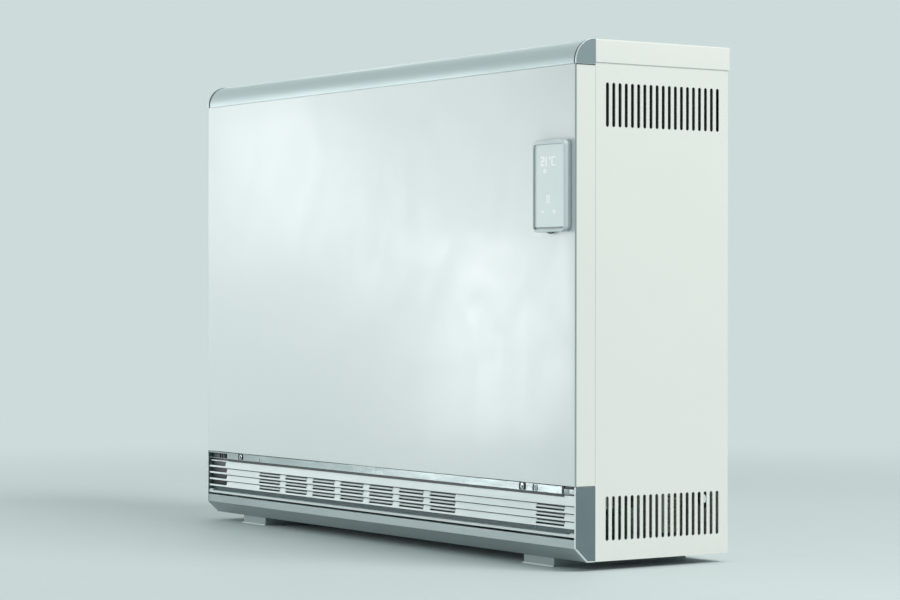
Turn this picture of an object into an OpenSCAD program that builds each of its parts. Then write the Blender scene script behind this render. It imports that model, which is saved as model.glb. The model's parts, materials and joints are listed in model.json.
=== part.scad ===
// Fan-assisted storage heater, built as separate sheet-metal, core, blower and control pieces.
// +X runs along the front to the right, +Y to the rear, +Z up. The origin is on the floor,
// under the middle of the whole heater.

/* [Casing] */
// Width over the end caps and the lid
case_w = 955; // [780:1:1300]
// Depth from the front panel's face to the lid's rear flange
case_d = 250; // [205:1:320]
// Height of the casing without its feet
case_h = 660; // [545:1:800]
// Thickness of the painted sheet metal
sheet_t = 1.2; // [0.8:0.1:1.5]
// How far the lid stands proud of the side panels and the rear panel
lid_proud = 1.5; // [1.5:0.1:2]
// Height of the lid's turned-down flanges
lid_flange_h = 29.5; // [20:0.5:40]
// Running gap between casing pieces that don't touch
panel_gap = 0.3; // [0.2:0.05:0.5]
// Depth of the front panel with its side returns
front_return_d = 31; // [26:0.5:36]
// How far the end caps stand proud of the front panel's sides
cap_proud = 0.8; // [0.5:0.1:1]
// Bend radius of the front panel and the lid
bend_r = 2; // [1.6:0.1:3]

/* [Top rail] */
// Outer radius of the quarter-round rail
rail_r = 30; // [26:0.5:32]
// Height of the rail and its caps
rail_h = 32.8; // [31:0.1:36]
// Wall of the rail profile
rail_wall = 1.8; // [1.2:0.1:2.5]
// How far the rail sits inside the outline of its caps
rail_inset = 0.6; // [0.3:0.1:1]
// Thickness of the top caps
rail_cap_t = 3; // [2:0.1:4]

/* [Side vents] */
// Distance between neighbouring slots
vent_pitch = 10; // [8:0.5:12]
// Width of a slot
vent_slot_w = 5; // [3:0.1:6]
// Length of a slot
vent_slot_l = 56.3; // [40:0.1:60]
// Smallest distance from a slot's middle to the edge of the side panel
vent_margin = 19; // [16:0.5:30]
// Height of the lower row's lowest point
vent_low_h = 25.5; // [20:0.5:40]
// Distance from the casing's top down to the upper row's highest point
vent_top_drop = 54.5; // [45:0.5:80]

/* [Grille bay] */
// Height of the bottom end caps
bay_h = 95.2; // [95:0.1:98]
// Thickness of the bottom end caps
bay_cap_t = 3.2; // [2.5:0.1:4]
// Height at which the chamfer of the base trim starts
chamfer_h = 17.4; // [14:0.1:18]
// Depth of the chamfer along the casing's underside
chamfer_d = 18.3; // [15:0.1:19]
// Height of the base trim
trim_h = 28.5; // [27:0.1:28.8]
// Wall of the base trim
trim_wall = 1.6; // [1.2:0.1:2]

/* [Outlet grille] */
// Number of louvre bands
band_count = 4; // [4:1:4]
// Height of one band
band_h = 9.7; // [9.5:0.1:9.9]
// Depth of the bands' proud lower edges behind the front panel's face
band_front_d = 1.2; // [1:0.1:1.5]
// Depth of the bands' upper edges
band_back_d = 4; // [3.5:0.1:4.2]
// Thickness of the grille sheet
grille_t = 1.2; // [1:0.1:1.3]
// Length of one air slot
air_slot_l = 61; // [40:0.5:66]
// Height of one air slot
air_slot_h = 2.3; // [1.5:0.1:2.4]
// Distance between neighbouring slot groups
air_slot_pitch = 77.3; // [70:0.1:80]
// Number of slot groups over the duct
air_group_count = 7; // [3:1:7]
// Distance from the casing's left side to the first slot group
air_first_x = 157.1; // [120:0.1:170]
// Distance from the casing's right side to the end of the single slot group
air_last_x = 27.4; // [25:0.1:40]
// Distance from the casing's left side to the middle of the left turn fastener
latch_left_x = 103; // [90:1:140]
// Distance from the casing's right side to the middle of the right turn fastener
latch_right_x = 116; // [90:1:140]
// Radius of a turn fastener's head
latch_head_r = 4.2; // [3:0.1:4.3]
// Radius of the pocket round a turn fastener's head
latch_pocket_r = 8.2; // [6:0.1:10]
// Distance from the casing's left side to the end of the dark openings beside the left end cap
end_window_x = 57; // [40:1:66]
// Distance from the casing's right side to the right end of the glossy strip
strip_end_x = 30.5; // [28:0.5:60]
// Height of the band lips that cross the dark openings
end_lip_h = 2.4; // [2:0.1:3]

/* [Control unit] */
// Width of the control unit
ctrl_w = 68; // [60:0.5:76]
// Height of the control unit
ctrl_h = 117; // [105:0.5:130]
// How far the control unit stands out of the front panel
ctrl_proud = 12.4; // [12:0.1:14]
// Corner radius of the control unit
ctrl_r = 8; // [6:0.5:10]
// Distance from the casing's right side to the unit's middle
ctrl_side_x = 42.2; // [40:0.1:60]
// Distance from the casing's top to the unit's top
ctrl_top_drop = 126.8; // [90:0.1:180]
// Depth of the silver front frame
ctrl_frame_d = 6.3; // [5:0.1:6.5]
// Travel of the release button under the unit
release_travel = 1.5; // [1:0.1:2]

/* [Feet] */
// Height of the foot rails
foot_h = 12; // [10:0.5:20]
// Width of a foot rail
foot_w = 68; // [60:1:80]
// Distance from the casing's side to the middle of its foot rail
foot_x = 109; // [100:1:130]
// Setback of the foot rails from the front
foot_front_d = 22; // [20:1:26]
// Radius of the floor-fixing holes
floor_hole_r = 4.25; // [3:0.05:5]
// Distance between the floor-fixing holes of one foot rail
floor_hole_pitch = 130; // [100:1:140]

/* [Core] */
// Layers of storage bricks
brick_layers = 8; // [4:2:8]
// Bricks side by side in one layer
brick_columns = 4; // [3:1:5]
// Radius of the element grooves in the bricks
groove_r = 4.75; // [4.6:0.05:5]
// Radius of the tubular heating elements
element_r = 4.25; // [3.5:0.05:4.3]
// Distance between the two legs of an element
element_pitch = 68; // [50:0.5:68]
// Length of an air channel through a brick
channel_l = 50; // [30:1:56]
// Width of an air channel through a brick
channel_w = 12; // [8:0.5:13]
// Thickness of the insulating slab under the bricks
slab_t = 25; // [20:1:35]
// Thickness of the front insulation board
board_front_t = 30; // [20:1:32]
// Thickness of the rear insulation board
board_rear_t = 20; // [15:1:25]
// Thickness of the left and right insulation boards
board_side_t = 28; // [20:1:35]
// Thickness of the top insulation board
board_top_t = 28; // [20:1:35]
// Thickness of the inner jacket sheets
jacket_t = 1; // [0.8:0.1:1.2]
// Air gap between the bricks and the boards beside them
brick_gap = 2; // [1:0.5:3]
// Space over the bricks in which the air turns
turn_gap = 8; // [6:0.5:12]
// Space for the element bends at the left of the bricks
bend_bay_w = 40; // [39:0.5:50]

/* [Blower bay] */
// Height of the bay under the core, up to the support table's underside
bay_top_h = 112; // [110:0.5:135]
// Thickness of the support table
table_t = 2; // [1.5:0.1:3]
// Radius of the blower rotor
rotor_r = 30; // [24:0.5:31]
// Radius of the blower shaft
shaft_r = 4; // [3:0.1:5]
// Blades round the rotor
blade_count = 24; // [12:1:30]
// Radial clearance of shafts and pins in their bores
run_gap = 0.05; // [0.02:0.01:0.1]
// Radius of the mixing flap's pin
flap_pin_r = 2.5; // [2:0.1:3]
// Length of the mixing flap under its pin
flap_l = 38; // [25:0.5:40]

/* [Electrics] */
// Width of the electrics bay at the right of the core
electrics_w = 102; // [95:1:130]
// Width of the empty bay at the left of the core
left_bay_w = 26; // [20:1:40]
// Bore radius of the cable grommet
grommet_bore_r = 6.5; // [4:0.1:8]
// Travel of the limiter's reset button
reset_travel = 1.5; // [1:0.1:2]

/* [Hidden] */
$fn = 64;
eps = 0.01;

// Finishes
WHITE = [0.86, 0.9, 0.88];
SATIN = [0.75, 0.8, 0.82];
SLATE = [0.39, 0.45, 0.46];
STEEL = [0.6, 0.62, 0.63];
BRICK = [0.32, 0.24, 0.2];
BOARD = [0.85, 0.83, 0.78];
DARK = [0.12, 0.13, 0.14];

// Overall frame
screw_head_h = 1.6;
front_y = -(ctrl_proud + case_d + screw_head_h) / 2 + ctrl_proud;
half_w = case_w / 2;
side_x = half_w - lid_proud;
side_in = side_x - sheet_t;
front_x = half_w - cap_proud;
seam_d = front_return_d + panel_gap;
rear_d = case_d - lid_proud;
flange_w = 12;
rear_sheet_d = rear_d - 2 * sheet_t;
lid_in_h = case_h - sheet_t;
rail_h0 = case_h - rail_h;
rail_low_gap = 0.1;
panel_top_h = rail_h0 - 0.3;
panel_bottom_h = bay_h + 0.7;
panel_flange_d = 22;
panel_hook_d = 14;
cross_rail_x = side_in - 0.8;
cross_shelf_d = panel_hook_d - sheet_t - 1.6;

// Fixings
screw_hole_r = 2.1;
foot_screw_inset = 8;
foot_xs = [-half_w + foot_x, half_w - foot_x];
foot_hole_ds = [for (s = [-1, 1]) (foot_front_d + rear_d) / 2 + s * floor_hole_pitch / 2];
foot_screw_ds = [foot_front_d + 8, rear_d - 24];
base_upstand = 16;
case_screw_x = side_x - 7.5;
case_screw_hs = [40, case_h / 2, case_h - 60];
lid_screw_xs = [-case_w * 0.32, 0, case_w * 0.32];
lid_screw_h = case_h - lid_flange_h / 2;
panel_screw_x = half_w - 60;
panel_screw_d = 15;
bracket_xs = [-half_w * 0.6, half_w * 0.6];
bracket_size = [80, 32];
bracket_h = case_h - 70;
bracket_hole_pitch = 50;
bracket_hole_r = 3.5;

// Side vents
vent_span = rear_d - seam_d - 2 * vent_margin + lid_proud;
vent_count = floor(vent_span / vent_pitch) + 1;
vent_first_d = (seam_d + case_d) / 2 - (vent_count - 1) * vent_pitch / 2;

// Grille bay
bay_in_x = half_w - bay_cap_t;
grille_x = bay_in_x - 0.8;
strip_h = 9.7;
strip_top_h = panel_bottom_h - 1;
strip_mid_h = strip_top_h - strip_h / 2;
bands_top_h = strip_top_h - strip_h - 4.5;
bands_low_h = bands_top_h - band_count * band_h;
recess_d = 8;
lip_top_h = bands_low_h - 7.3;
lip_low_h = lip_top_h - 3.2;
pivot_d = band_front_d + 3;
pivot_h = lip_top_h - 0.6;
pivot_pin_r = 1.5;
pivot_pin_l = 11.3;
slot_gap = 0.4;
slot_drops = [slot_gap, (band_h + slot_gap) / 2];
end_window = [-grille_x - 1, -half_w + end_window_x];
strip_window = [-grille_x - 1, end_window[1] + 4];
end_step = 4;
air_group_xs = concat(
    [for (i = [0 : air_group_count - 1]) -half_w + air_first_x + i * air_slot_pitch],
    [half_w - air_last_x - air_slot_l]
);

// Turn fasteners and the hooks that their tongues catch
latch_xs = [-half_w + latch_left_x, half_w - latch_right_x];
latch_pocket_h = strip_h - 0.7;
latch_head_d = [0.3, 3.2];
latch_shank_r = 2;
tongue_d = 9;
tongue_t = 1.2;
tongue_half_l = 6.2;
tongue_half_w = 2.4;
hook_d = 7;
hook_low_h = strip_mid_h + tongue_half_w + 1;

// Control unit
ctrl_x = half_w - ctrl_side_x;
ctrl_top_h = case_h - ctrl_top_drop;
ctrl_mid_h = ctrl_top_h - ctrl_h / 2;
ctrl_wall = 1.6;
ctrl_base_inset = 0.8;
ctrl_seam_d = ctrl_frame_d - ctrl_proud;
ctrl_cable_r = 8;
ctrl_post_xs = [-22, 22];
ctrl_post_hs = [-40, 40];
ctrl_post_l = 4;
ctrl_board_t = 1.2;
ctrl_board_d = -ctrl_post_l - ctrl_board_t;
ctrl_bezel = 2;
ctrl_bezel_top = 6;
ctrl_bezel_low = 4;
window_r = 3.5;
glass_t = 1.2;
glass_d = 2.2 - ctrl_proud;
release_dx = -7;
release_w = 17;
release_drop = release_travel + 1.3;

// Core stack, front to back
jacket_d0 = 33;
board_front_d = jacket_d0 + jacket_t;
brick_d0 = board_front_d + board_front_t + brick_gap;
jacket_d1 = rear_sheet_d - 9.1;
board_rear_d = jacket_d1 - jacket_t - board_rear_t;
brick_d1 = board_rear_d - brick_gap;
brick_mid_d = (brick_d0 + brick_d1) / 2;
core_d = [board_front_d + board_front_t, board_rear_d];
leg_ds = [brick_mid_d - element_pitch / 2, brick_mid_d + element_pitch / 2];
channel_inset = 24;
channel_ds = [brick_d0 + channel_inset, brick_d1 - channel_inset];

// Core stack, left to right
jacket_x0 = -side_in + left_bay_w;
jacket_x1 = side_in - electrics_w;
board_x0 = jacket_x0 + jacket_t;
board_x1 = jacket_x1 - jacket_t;
brick_x0 = board_x0 + board_side_t + bend_bay_w;
brick_x1 = board_x1 - board_side_t - brick_gap;
brick_w = (brick_x1 - brick_x0) / brick_columns;

// Core stack, bottom to top
table_h = bay_top_h + table_t;
brick_h0 = table_h + slab_t;
lid_air_h = 50.8;
jacket_h1 = lid_in_h - lid_air_h;
board_top_h = jacket_h1 - jacket_t - board_top_t;
brick_h = (board_top_h - turn_gap - brick_h0) / brick_layers;
element_hs = [for (i = [1 : 2 : brick_layers - 1]) brick_h0 + i * brick_h];
brick_joint = 0.2;
sensor_layer = brick_layers / 2;
sensor_r = 3;
sensor_h = brick_h0 + sensor_layer * brick_h - (groove_r - sensor_r - 0.3);
element_drop = groove_r - element_r - 0.2;
leg_end_x = jacket_x1 + 30;
bush_r = 8;
bush_proud = 5;

// Blower bay
floor_t = 1.5;
duct_d0 = 12;
duct_d1 = 143;
duct_h0 = 44;
duct_step_d = 44;
duct_step_h = 91;
duct_t = 1.2;
duct_x0 = -half_w + air_first_x - 14;
duct_x1 = -half_w + air_first_x + air_group_count * air_slot_pitch + 4;
rotor_d = 175;
rotor_h = 55;
housing_d1 = min(rotor_d + rotor_r + 7, jacket_d1 - 20);
bush_flange = 9;
motor_r = 33;
motor_x0 = duct_x1 + 22;
motor_l = 58;
disc_gap = 8;
flap_d = 84;
flap_pin_h = bay_top_h - 13;
flap_eye_r = flap_pin_r + 1.5;
flap_x0 = duct_x0 + duct_t + 6;
flap_x1 = duct_x1 - duct_t - 6;
skirt_d = jacket_d0 + 3;

// Electrics bay
plate_x = jacket_x1 + 12;
plate_t = 1.2;
plate_d = [50, min(235, jacket_d1 - 2)];
plate_h = [8, 178];
parts_x = plate_x + plate_t;
terminal_count = 6;
terminal_pitch = 14;
fin_count = 9;
fin_pitch = 9.25;
fin_t = 2;
grommet_x = side_in - 44;
grommet_h = 68;
limiter_d = 129;
limiter_h = 155;
limiter_w = 24;
reset_r = 4;
reset_well = 8;

// Placing helpers: d is the depth behind the front panel's face, h the height over the casing's underside
function back(d) = front_y + d;
function up(h) = foot_h + h;

module block(x, d, h) {
    translate([x[0], back(d[0]), up(h[0])])
        cube([x[1] - x[0], d[1] - d[0], h[1] - h[0]]);
}

// A profile drawn as depth against height, run along X
module along_x(x0, x1) {
    translate([x0, front_y, foot_h])
        rotate([90, 0, 90])
            linear_extrude(x1 - x0)
                children();
}

// A shape drawn as X against height, run from depth d0 to d1
module along_y(d0, d1) {
    translate([0, back(d1), foot_h])
        rotate([90, 0, 0])
            linear_extrude(d1 - d0)
                children();
}

// A shape drawn as X against depth, run from height h0 to h1
module along_z(h0, h1) {
    translate([0, front_y, up(h0)])
        linear_extrude(h1 - h0)
            children();
}

module rod_x(x0, x1, d, h, r) {
    translate([x0, back(d), up(h)])
        rotate([0, 90, 0])
            cylinder(h = x1 - x0, r = r);
}

module rod_y(x, h, d0, d1, r) {
    translate([x, back(d1), up(h)])
        rotate([90, 0, 0])
            cylinder(h = d1 - d0, r = r);
}

module rod_z(x, d, h0, h1, r) {
    translate([x, back(d), up(h0)])
        cylinder(h = h1 - h0, r = r);
}

// Cutter for a hole through the sheets at the rear
module rear_hole(x, h, r)
    rod_y(x, h, rear_d - 8, case_d + 1, r);

module rounded(w, h, r) {
    square([w - 2 * r, h], center = true);
    square([w, h - 2 * r], center = true);
    for (x = [-1, 1], y = [-1, 1])
        translate([x * (w / 2 - r), y * (h / 2 - r)])
            circle(r);
}

module upright_slot(w, l) {
    square([w, l - w], center = true);
    for (s = [-1, 1])
        translate([0, s * (l - w) / 2])
            circle(d = w);
}

// Round-headed screw with its head's underside at the origin and its shank along -Z
module screw(head_r, shank_r, shank_l) {
    difference() {
        cylinder(h = screw_head_h, r = head_r, $fn = 32);
        for (a = [0, 90])
            rotate(a)
                translate([-head_r * 0.6, -0.4, screw_head_h - 0.8])
                    cube([head_r * 1.2, 0.8, 1]);
    }
    translate([0, 0, -shank_l])
        cylinder(h = shank_l, r = shank_r, $fn = 32);
}

// Casing ------------------------------------------------------------------

module base_plate() color(WHITE) {
    x = side_in;
    front_half_x = side_x - flange_w - panel_gap;
    difference() {
        union() {
            block([-front_half_x, front_half_x], [foot_front_d, seam_d + sheet_t + eps], [0, floor_t]);
            block([-x, x], [seam_d + sheet_t, rear_sheet_d], [0, floor_t]);
            for (s = [-1, 1])
                block([s * x - (s > 0 ? floor_t : 0), s * x + (s > 0 ? 0 : floor_t)],
                      [seam_d + sheet_t, rear_sheet_d], [0, base_upstand]);
            block([-x, x], [rear_sheet_d - floor_t, rear_sheet_d], [0, base_upstand]);
            for (s = [-1, 1])
                block([s * x - (s > 0 ? flange_w : 0), s * x + (s > 0 ? 0 : flange_w)],
                      [seam_d + sheet_t, seam_d + sheet_t + floor_t], [0, base_upstand]);
        }
        for (x = foot_xs, d = foot_hole_ds)
            rod_z(x, d, -1, floor_t + 1, floor_hole_r * 2);
        for (x = foot_xs, dx = [-1, 1], d = foot_screw_ds)
            rod_z(x + dx * (foot_w / 2 - foot_screw_inset), d, -1, floor_t + 1, screw_hole_r);
    }
}

module rear_panel() color(WHITE)
    difference() {
        block([-side_in + 0.1, side_in - 0.1], [rear_sheet_d, rear_d - sheet_t], [0, lid_in_h - panel_gap]);
        rear_hole(grommet_x, grommet_h, grommet_bore_r + 3);
        for (x = bracket_xs, dx = [-1, 1])
            rear_hole(x + dx * bracket_hole_pitch / 2, bracket_h, bracket_hole_r);
        for (s = [-1, 1], h = case_screw_hs)
            rear_hole(s * case_screw_x, h, screw_hole_r);
        for (x = lid_screw_xs)
            rear_hole(x, lid_screw_h, screw_hole_r);
    }

// One side panel, drawn for the right side
module side_panel() {
    top = lid_in_h - panel_gap;
    vent_rows = [vent_low_h + vent_slot_l / 2, case_h - vent_top_drop - vent_slot_l / 2];
    difference() {
        union() {
            block([side_in, side_x], [seam_d, rear_d], [0, top]);
            block([side_x - flange_w, side_x], [seam_d, seam_d + sheet_t], [0, top]);
            block([side_x - flange_w - 2, side_x], [rear_d - sheet_t, rear_d], [0, top]);
        }
        for (i = [0 : vent_count - 1], h = vent_rows)
            translate([side_in - 1, back(vent_first_d + i * vent_pitch), up(h)])
                rotate([90, 0, 90])
                    linear_extrude(sheet_t + 2)
                        upright_slot(vent_slot_w, vent_slot_l);
        for (h = case_screw_hs)
            rear_hole(case_screw_x, h, screw_hole_r);
    }
}

module side_panel_right() color(WHITE)
    side_panel();

module side_panel_left() color(WHITE)
    mirror([1, 0, 0])
        side_panel();

// Outline of a sheet with two rounded upper corners, w wide and l long, its top edge on y = 0
module bent_outline(w, l, r) {
    translate([-w / 2, -l])
        square([w, l - r]);
    translate([-w / 2 + r, -r])
        square([w - 2 * r, r]);
    for (s = [-1, 1])
        translate([s * (w / 2 - r), -r])
            circle(r);
}

module top_cover() color(WHITE)
    difference() {
        union() {
            along_y(seam_d, case_d)
                translate([0, case_h])
                    difference() {
                        bent_outline(case_w, lid_flange_h, bend_r);
                        translate([0, -sheet_t])
                            bent_outline(case_w - 2 * sheet_t, lid_flange_h, bend_r - sheet_t);
                    }
            block([-half_w + bend_r, half_w - bend_r], [case_d - sheet_t, case_d],
                  [case_h - lid_flange_h, case_h]);
        }
        for (x = lid_screw_xs)
            rear_hole(x, lid_screw_h, screw_hole_r);
    }

module front_panel() color(WHITE) {
    h = [panel_bottom_h, panel_top_h];
    difference() {
        union() {
            along_z(h[0], h[1])
                mirror([0, 1])
                    difference() {
                        bent_outline(2 * front_x, front_return_d, bend_r);
                        translate([0, -sheet_t])
                            bent_outline(2 * (front_x - sheet_t), front_return_d, bend_r - sheet_t);
                    }
            block([-front_x + 1, front_x - 1], [0.5, panel_flange_d], [h[0], h[0] + sheet_t]);
            block([-front_x + 1, front_x - 1], [0.5, panel_hook_d], [h[1] - sheet_t, h[1]]);
            block([-front_x + 1, front_x - 1], [panel_hook_d - sheet_t, panel_hook_d], [h[1] - 14, h[1]]);
        }
        for (x = latch_xs)
            block([x - 14, x + 14], [5.5, panel_flange_d + 1], [h[0] - 1, h[0] + sheet_t + 1]);
        for (s = [-1, 1])
            rod_z(s * panel_screw_x, panel_screw_d, h[0] - 1, h[0] + sheet_t + 1, screw_hole_r);
        rod_y(ctrl_x, ctrl_mid_h, -1, sheet_t + 1, ctrl_cable_r);
    }
}

module upper_cross_rail() color(STEEL) {
    x = cross_rail_x;
    shelf_h = panel_top_h - 20;
    block([-x, x], [front_return_d - 0.9, seam_d], [shelf_h, lid_in_h - panel_gap]);
    block([-x, x], [cross_shelf_d, seam_d], [shelf_h, shelf_h + sheet_t]);
    block([-x, x], [cross_shelf_d, cross_shelf_d + sheet_t], [shelf_h, shelf_h + 16]);
}

module lower_cross_rail() color(STEEL) {
    x = cross_rail_x;
    web_h = panel_bottom_h + sheet_t;
    difference() {
        union() {
            block([-x, x], [hook_d - 2, seam_d], [web_h, web_h + sheet_t]);
            block([-x, x], [seam_d - sheet_t, seam_d], [web_h, web_h + 17]);
            for (x = latch_xs)
                block([x - 12, x + 12], [hook_d, hook_d + sheet_t], [hook_low_h, web_h + eps]);
        }
        for (s = [-1, 1])
            rod_z(s * panel_screw_x, panel_screw_d, web_h - 1, web_h + sheet_t + 1, screw_hole_r);
    }
}

// Quarter-round outline with its front lower corner at the origin
module quarter_outline(r, h, d) {
    intersection() {
        union() {
            translate([r, h - r])
                circle(r, $fn = 128);
            if (h > r + eps)
                square([d, h - r]);
            if (d > r + eps)
                translate([r, 0])
                    square([d - r, h]);
        }
        square([d, h]);
    }
}

module top_rail() color(SATIN)
    along_x(-half_w + rail_cap_t + 0.4, half_w - rail_cap_t - 0.4)
        translate([rail_inset, rail_h0 + rail_low_gap])
            difference() {
                quarter_outline(rail_r, rail_h - rail_low_gap - rail_inset,
                                front_return_d - 1 - rail_inset);
                translate([rail_wall, rail_wall])
                    quarter_outline(rail_r - rail_wall, rail_h - rail_low_gap - rail_inset - 2 * rail_wall,
                                    front_return_d - 1 - rail_inset - 2 * rail_wall);
            }

// One top cap, drawn for the right side, with the plug that holds it in the rail
module rail_cap() {
    play = 0.5;
    plug_d = rail_inset + rail_wall + play;
    plug_h = rail_low_gap + rail_wall + play;
    plug_end_d = front_return_d - 1 - rail_wall - play;
    plug_end_h = rail_h - rail_inset - rail_wall - play;
    along_x(half_w - rail_cap_t, half_w)
        translate([0, rail_h0])
            quarter_outline(rail_r, rail_h, front_return_d);
    along_x(half_w - rail_cap_t - 12, half_w - rail_cap_t + eps)
        translate([plug_d, rail_h0 + plug_h])
            quarter_outline(rail_r - plug_d, plug_end_h - plug_h, plug_end_d - plug_d);
}

module top_rail_cap_right() color(SLATE)
    rail_cap();

module top_rail_cap_left() color(SLATE)
    mirror([1, 0, 0])
        rail_cap();

// One bottom cap, drawn for the right side, with its fixing flange and the grille's pivot pin
module bottom_cap() {
    along_x(bay_in_x, half_w)
        polygon([[0, chamfer_h], [chamfer_d, 0], [front_return_d - 0.2, 0],
                 [front_return_d - 0.2, bay_h], [0, bay_h]]);
    block([bay_in_x - 18, bay_in_x + eps], [front_return_d - 1.2, front_return_d - 0.2], [2, bay_h - 1]);
    rod_x(bay_in_x - pivot_pin_l, bay_in_x + eps, pivot_d, pivot_h, pivot_pin_r);
}

module bottom_cap_right() color(SLATE)
    bottom_cap();

module bottom_cap_left() color(SLATE)
    mirror([1, 0, 0])
        bottom_cap();

module base_trim() color(SATIN) {
    c = 0.6;
    w = trim_wall;
    along_x(-bay_in_x + 0.2, bay_in_x - 0.2)
        polygon([
            [c, trim_h], [c, chamfer_h + 0.2], [chamfer_d - 0.4, 0.3], [foot_front_d - 0.2, 0.3],
            [foot_front_d - 0.2, 0.3 + w], [chamfer_d + 0.2, 0.3 + w], [c + w, chamfer_h + 0.9],
            [c + w, trim_h - w], [10, trim_h - w], [10, trim_h]
        ]);
    for (s = [-1, 1])
        block([s * half_w * 0.6 - 10, s * half_w * 0.6 + 10],
              [foot_front_d - 0.2 - w, foot_front_d], [0.3, 14]);
}

// One foot rail at its own X, with its floor-fixing holes and screw flanges
module foot(x) {
    w = foot_w / 2;
    d0 = foot_front_d;
    d1 = rear_d - 10;
    t = floor_t;
    difference() {
        union() {
            block([x - w, x + w], [d0 - 2, d1], [-foot_h, -foot_h + t]);
            block([x - w + 1, x + w - 1], [d0, d0 + t], [-foot_h, 0]);
            for (s = [-1, 1]) {
                wall_x = x + s * (w - 1 - t / 2);
                flange_x = x + s * (w - 7);
                block([wall_x - t / 2, wall_x + t / 2], [d0, d1], [-foot_h, 0]);
                block([flange_x - 6, flange_x + 6], [d0, d1], [-t, 0]);
            }
        }
        for (d = foot_hole_ds)
            rod_z(x, d, -foot_h - 1, -foot_h + t + 1, floor_hole_r);
        for (s = [-1, 1], d = foot_screw_ds)
            rod_z(x + s * (w - foot_screw_inset), d, -t - 1, 1, screw_hole_r);
    }
}

module foot_left() color(STEEL)
    foot(foot_xs[0]);

module foot_right() color(STEEL)
    foot(foot_xs[1]);

// Outlet grille -------------------------------------------------------------

module grille_profile() {
    t = grille_t;
    front = concat(
        [[band_back_d, strip_top_h - 0.3]],
        [for (i = [0 : band_count - 1], low = [0, 1])
            [low == 0 ? band_back_d : band_front_d, bands_top_h - (i + low) * band_h]]
    );
    rear = [for (i = [len(front) - 1 : -1 : 1]) front[i] + [t, t]];
    polygon(concat(
        front,
        [[recess_d, bands_low_h], [recess_d, lip_top_h], [band_front_d, lip_top_h],
         [band_front_d, lip_low_h], [band_back_d + 1, lip_low_h], [band_back_d + 1, lip_low_h + t],
         [band_front_d + t, lip_low_h + t], [band_front_d + t, lip_top_h - t],
         [recess_d + t, lip_top_h - t], [recess_d + t, bands_low_h + t]],
        rear,
        [[band_back_d + t, strip_top_h - 0.3]]
    ));
}

module outlet_grille() color(SATIN) {
    ear = pivot_pin_l - 0.8;
    difference() {
        union() {
            along_x(-grille_x, grille_x)
                grille_profile();
            for (s = [-1, 1])
                rod_x(s > 0 ? grille_x - ear : -grille_x, s > 0 ? grille_x : -grille_x + ear,
                      pivot_d, pivot_h, pivot_pin_r + 1.5);
        }
        for (x = air_group_xs, i = [1 : band_count - 1], drop = slot_drops)
            block([x, x + air_slot_l], [-1, 7],
                  [bands_top_h - i * band_h - drop - air_slot_h, bands_top_h - i * band_h - drop]);
        for (x = air_group_xs)
            block([x, x + air_slot_l], [recess_d - 1, recess_d + grille_t + 1],
                  [lip_top_h + 1, bands_low_h - 1.2]);
        for (s = [-1, 1])
            rod_x(s > 0 ? grille_x - ear - 1 : -grille_x - 1, s > 0 ? grille_x + 1 : -grille_x + ear + 1,
                  pivot_d, pivot_h, pivot_pin_r + run_gap);
        for (i = [0 : band_count - 1])
            block([end_window[0], end_window[1] - (i == 0 ? end_step : 0)], [-1, 7],
                  [bands_top_h - (i + 1) * band_h + end_lip_h, bands_top_h - i * band_h - 0.6]);
        block(strip_window, [-1, 7], [bands_top_h + 1, strip_top_h - 2.2]);
        for (x = latch_xs)
            rod_y(x, strip_mid_h, 0, tongue_d, latch_shank_r + run_gap);
    }
}

module grille_strip() color("silver") {
    d0 = 0.8;
    difference() {
        along_x(-grille_x, half_w - strip_end_x)
            translate([d0, strip_mid_h - strip_h / 2])
                difference() {
                    square([band_back_d - d0, strip_h]);
                    translate([grille_t, grille_t])
                        square([band_back_d - d0, strip_h - 2 * grille_t]);
                }
        block(strip_window, [-1, band_back_d + 1],
              [strip_mid_h - strip_h / 2 + 0.8, strip_mid_h + strip_h / 2 - 1.9]);
        for (x = latch_xs)
            intersection() {
                rod_y(x, strip_mid_h, 0, band_back_d + 1, latch_pocket_r);
                block([x - latch_pocket_r - 1, x + latch_pocket_r + 1], [-1, band_back_d + 2],
                      [strip_mid_h - latch_pocket_h / 2, strip_mid_h + latch_pocket_h / 2]);
            }
    }
}

// Turn fastener at X, at rest with its tongue lying flat
module latch(x) {
    difference() {
        rod_y(x, strip_mid_h, latch_head_d[0], latch_head_d[1], latch_head_r);
        block([x - latch_head_r - 1, x + latch_head_r + 1], [0, 1.3], [strip_mid_h - 0.5, strip_mid_h + 0.5]);
    }
    rod_y(x, strip_mid_h, latch_head_d[1] - eps, tongue_d + tongue_t + 0.2, latch_shank_r);
    block([x - tongue_half_l, x + tongue_half_l], [tongue_d, tongue_d + tongue_t],
          [strip_mid_h - tongue_half_w, strip_mid_h + tongue_half_w]);
}

module grille_latch_left() color(DARK)
    latch(latch_xs[0]);

module grille_latch_right() color(DARK)
    latch(latch_xs[1]);

// Control unit ----------------------------------------------------------------

module ctrl_plate(d0, d1, inset, r)
    along_y(d0, d1)
        translate([ctrl_x, ctrl_mid_h])
            rounded(ctrl_w - 2 * inset, ctrl_h - 2 * inset, r);

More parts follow.
